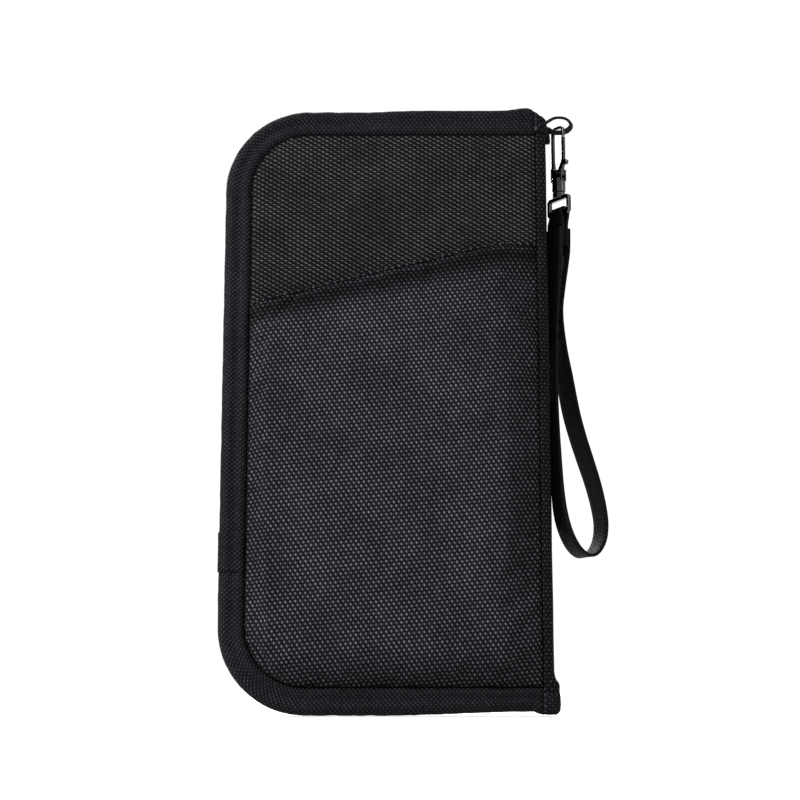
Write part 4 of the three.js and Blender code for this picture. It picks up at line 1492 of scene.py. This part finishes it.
def flat_sheet(node, side, near, body, hem=0.0):
    """A cloth sheet in a CAD node's place inside a cover. near is its depth from the zip
    plane, on the side that faces the middle; hem is how far its folded top reaches down."""
    box_low, box_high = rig.box(node)
    inset = box_low.x - LEFT
    length = box_high.z - box_low.z

    def place(u, v):
        z = box_low.z + length * v
        left = left_edge(z, inset)
        x = left + (box_high.x - left) * u
        fold_z = box_high.z - hem
        fold = 0.18 * MM * ramp(z, fold_z - 0.4 * MM, fold_z) if hem else 0.0
        soft = 0.07 * MM * wobble(x, side, z, 26 * MM, near / MM)
        return Vector((x, ZIP_Y + side * (near + soft - fold), z))

    rows = max(24, round(length / (1.8 * MM)))
    piece = grid(f"{node}_sheet", 60, rows, place, lining_cloth)
    thicken(piece, 0.32 * MM, turned=side < 0)
    dress(piece, node)
    width = box_high.x - LEFT - inset
    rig.sheet(piece, flat=(width, length), held="laid", rests_on=[body])


def make_linings():
    for prefix, side in COVERS:
        flat_sheet(f"{prefix}_lining", side, LINING_INNER + 0.05 * MM, f"{prefix}_foam_board")


def make_slip_pockets():
    nodes = {"back": ["ticket_pocket", "passport_pocket"]}
    nodes["front"] = [f"card_slot_{number}" for number in (1, 2, 3, 4)]
    for prefix, side in reversed(COVERS):
        for node in nodes[prefix]:
            box_low, box_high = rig.box(node)
            near = (box_low.y - ZIP_Y) if side > 0 else (ZIP_Y - box_high.y)
            flat_sheet(node, side, near + 0.18 * MM, f"{prefix}_lining_sheet", 7 * MM)
            z = box_high.z - 6.4 * MM
            y = ZIP_Y + side * near
            left = left_edge(z, box_low.x - LEFT)
            line = [Vector((x, y, z)) for x in (left + 1 * MM, box_high.x - 1 * MM)]
            sew(
                f"{node}_stitches", node, [line], (0, -side, 0),
                2.2 * MM, 0.7 * MM, 0.14 * MM
            )


def make_coin_pocket():
    cloth_low, cloth_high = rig.box("coin_pocket")
    width, length = cloth_high.x - cloth_low.x, cloth_high.z - cloth_low.z

    def place(u, v):
        x = cloth_low.x + width * u
        z = cloth_low.z + length * v
        margin = min(x - cloth_low.x, cloth_high.x - x, z - cloth_low.z)
        puff = ramp(margin, -1 * MM, 9 * MM)
        soft = 0.16 * wobble(x, 0, z, 22 * MM, 2.5)
        sunk = 0.15 + 1.1 * (1 - puff) - soft * puff
        return Vector((x, cloth_high.y - sunk * MM, z))

    piece = grid("coin_pocket_cloth", 60, 34, place, lining_cloth)
    thicken(piece, 0.4 * MM, turned=True)
    dress(piece, "coin_pocket")
    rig.sheet(piece, flat=(width, length), held="laid", rests_on=["front_lining_sheet"])
    make_coin_zip("upper", 1)
    make_coin_zip("lower", -1)


def make_coin_zip(row, way):
    """One side of the coin pocket's zip: tape, seam and coil. way is 1 upward."""
    node = f"coin_zip_tape_{row}"
    tape_low, tape_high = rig.box(node)
    rings = []
    for i in range(61):
        x = tape_low.x + (tape_high.x - tape_low.x) * i / 60
        heights = [tape_low.z + (tape_high.z - tape_low.z) * j / 6 for j in range(7)]
        rings.append([Vector((x, tape_high.y - 0.1 * MM, z)) for z in heights])
    tape = thicken(skin(f"coin_zip_band_{row}", rings, tape_twill), 0.45 * MM)
    dress(tape, node)
    middle = (tape_low.z + tape_high.z) / 2 + way * 1.2 * MM
    line = [Vector((x, tape_high.y + 0.05 * MM, middle)) for x in (tape_low.x, tape_high.x)]
    name = f"coin_zip_stitches_{row}"
    sew(name, node, [line], (0, 1, 0), 2.0 * MM, 0.6 * MM, 0.14 * MM)

    # A turn of the coil: share of the pitch along, out from the coil's middle, and up
    # from its head or, where that is False, down from its foot, in millimetres.
    turn = [
        (0.0, -0.4, -0.3, False),
        (0.15, -0.45, 0.3, True),
        (0.35, 0.0, -0.15, True),
        (0.55, 0.45, 0.3, True),
        (0.8, 0.4, -0.3, False),
    ]
    coil_low, coil_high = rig.box(f"coin_zip_coil_{row}")
    pitch = 1.1 * MM
    girth = 0.24 * MM
    middle_y = (coil_low.y + coil_high.y) / 2
    shift = 0 if way > 0 else pitch / 2
    head, foot = (coil_low.z, coil_high.z) if way > 0 else (coil_high.z, coil_low.z)
    route = []
    for number in range(int((coil_high.x - coil_low.x - shift) / pitch)):
        x = coil_low.x + shift + number * pitch
        for share, out, up, at_head in turn:
            z = (head if at_head else foot) + way * up * MM
            route.append(Vector((x + share * pitch, middle_y + out * MM, z)))
    widths = [Vector((1, 0, 0))] * len(route)
    ring = [point.xy for point in circle(Vector(), Vector((1, 0, 0)), Vector((0, 1, 0)), girth)]
    coil = band(f"coin_zip_spiral_{row}", route, widths, ring, coil_plastic)
    dress(coil, f"coin_zip_coil_{row}")


def make_pen_loop():
    piece = softened_plate("pen_loop", "pen_sleeve", elastic_ribbon, 0.3 * MM)
    map_flat(piece, lambda point: (point.z, point.x + point.y))
    dress(piece, "pen_loop")


def make_spine_lining():
    """The lining runs on over the boards' edges and across the inside of the spine."""
    lining_low, lining_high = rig.box("spine_lining")
    length = lining_high.z - lining_low.z
    x_mid = (lining_low.x + lining_high.x) / 2
    cover_x = high("front_lining").x - 0.6 * MM
    inner = LINING_INNER + 0.2 * MM
    reach = (lining_high.y - lining_low.y) / 2
    outline = [
        (cover_x - 4.5 * MM, inner - 0.05 * MM),
        (cover_x - 1.2 * MM, inner - 0.05 * MM),
        (cover_x + 0.1 * MM, inner + 0.4 * MM),
        (x_mid - 0.25 * MM, inner + 1.6 * MM),
        (x_mid, reach - 0.6 * MM),
        (x_mid + 0.05 * MM, reach * 0.5),
        (x_mid, 0.0),
    ]
    rows = 90
    for prefix, side in COVERS:
        line = smooth_line([Vector((x, side * y, 0)) for x, y in outline], 4)
        rings = []
        for j in range(rows + 1):
            z = lining_low.z + length * j / rows
            softs = [0.1 * MM * wobble(point.y, side, z, 12 * MM) for point in line]
            rings.append([p + Vector((soft, ZIP_Y, z)) for p, soft in zip(line, softs)])
        piece = skin(f"{prefix}_spine_lining", rings, lining_cloth)
        thicken(piece, 0.3 * MM, turned=side < 0)
        start = (cover_x - 0.6 * MM, ZIP_Y + side * inner, 0)
        end = (x_mid, ZIP_Y + side * (reach - 0.5 * MM), 0)
        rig.blend(piece, f"{prefix}_cover", "spine", start, end)
        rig.slot(piece, "lining_cloth")
        flat = (running_lengths(line)[-1], length)
        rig.sheet(piece, flat=flat, held="stretched", rests_on=["spine_panel"])
        if side < 0:
            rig.replaces(piece, "spine_lining")


# ---- assembly

for cover_name, cover_side in COVERS:
    make_edge_strip(cover_name, cover_side)
    make_panel(cover_name, cover_side)
    make_zip_row(cover_name, cover_side)
    make_zip_tape(cover_name, cover_side)
make_slash_pocket()
make_sliders()
make_spine()
make_linings()
make_slip_pockets()
make_coin_pocket()
make_pen_loop()
make_spine_lining()
make_studio()

bpy.context.view_layer.update()
boxes = {"cad": cad_box, "visual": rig.bounds()}
with open("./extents.json", "w") as size_file:
    json.dump({name: [list(corner) for corner in pair] for name, pair in boxes.items()}, size_file)
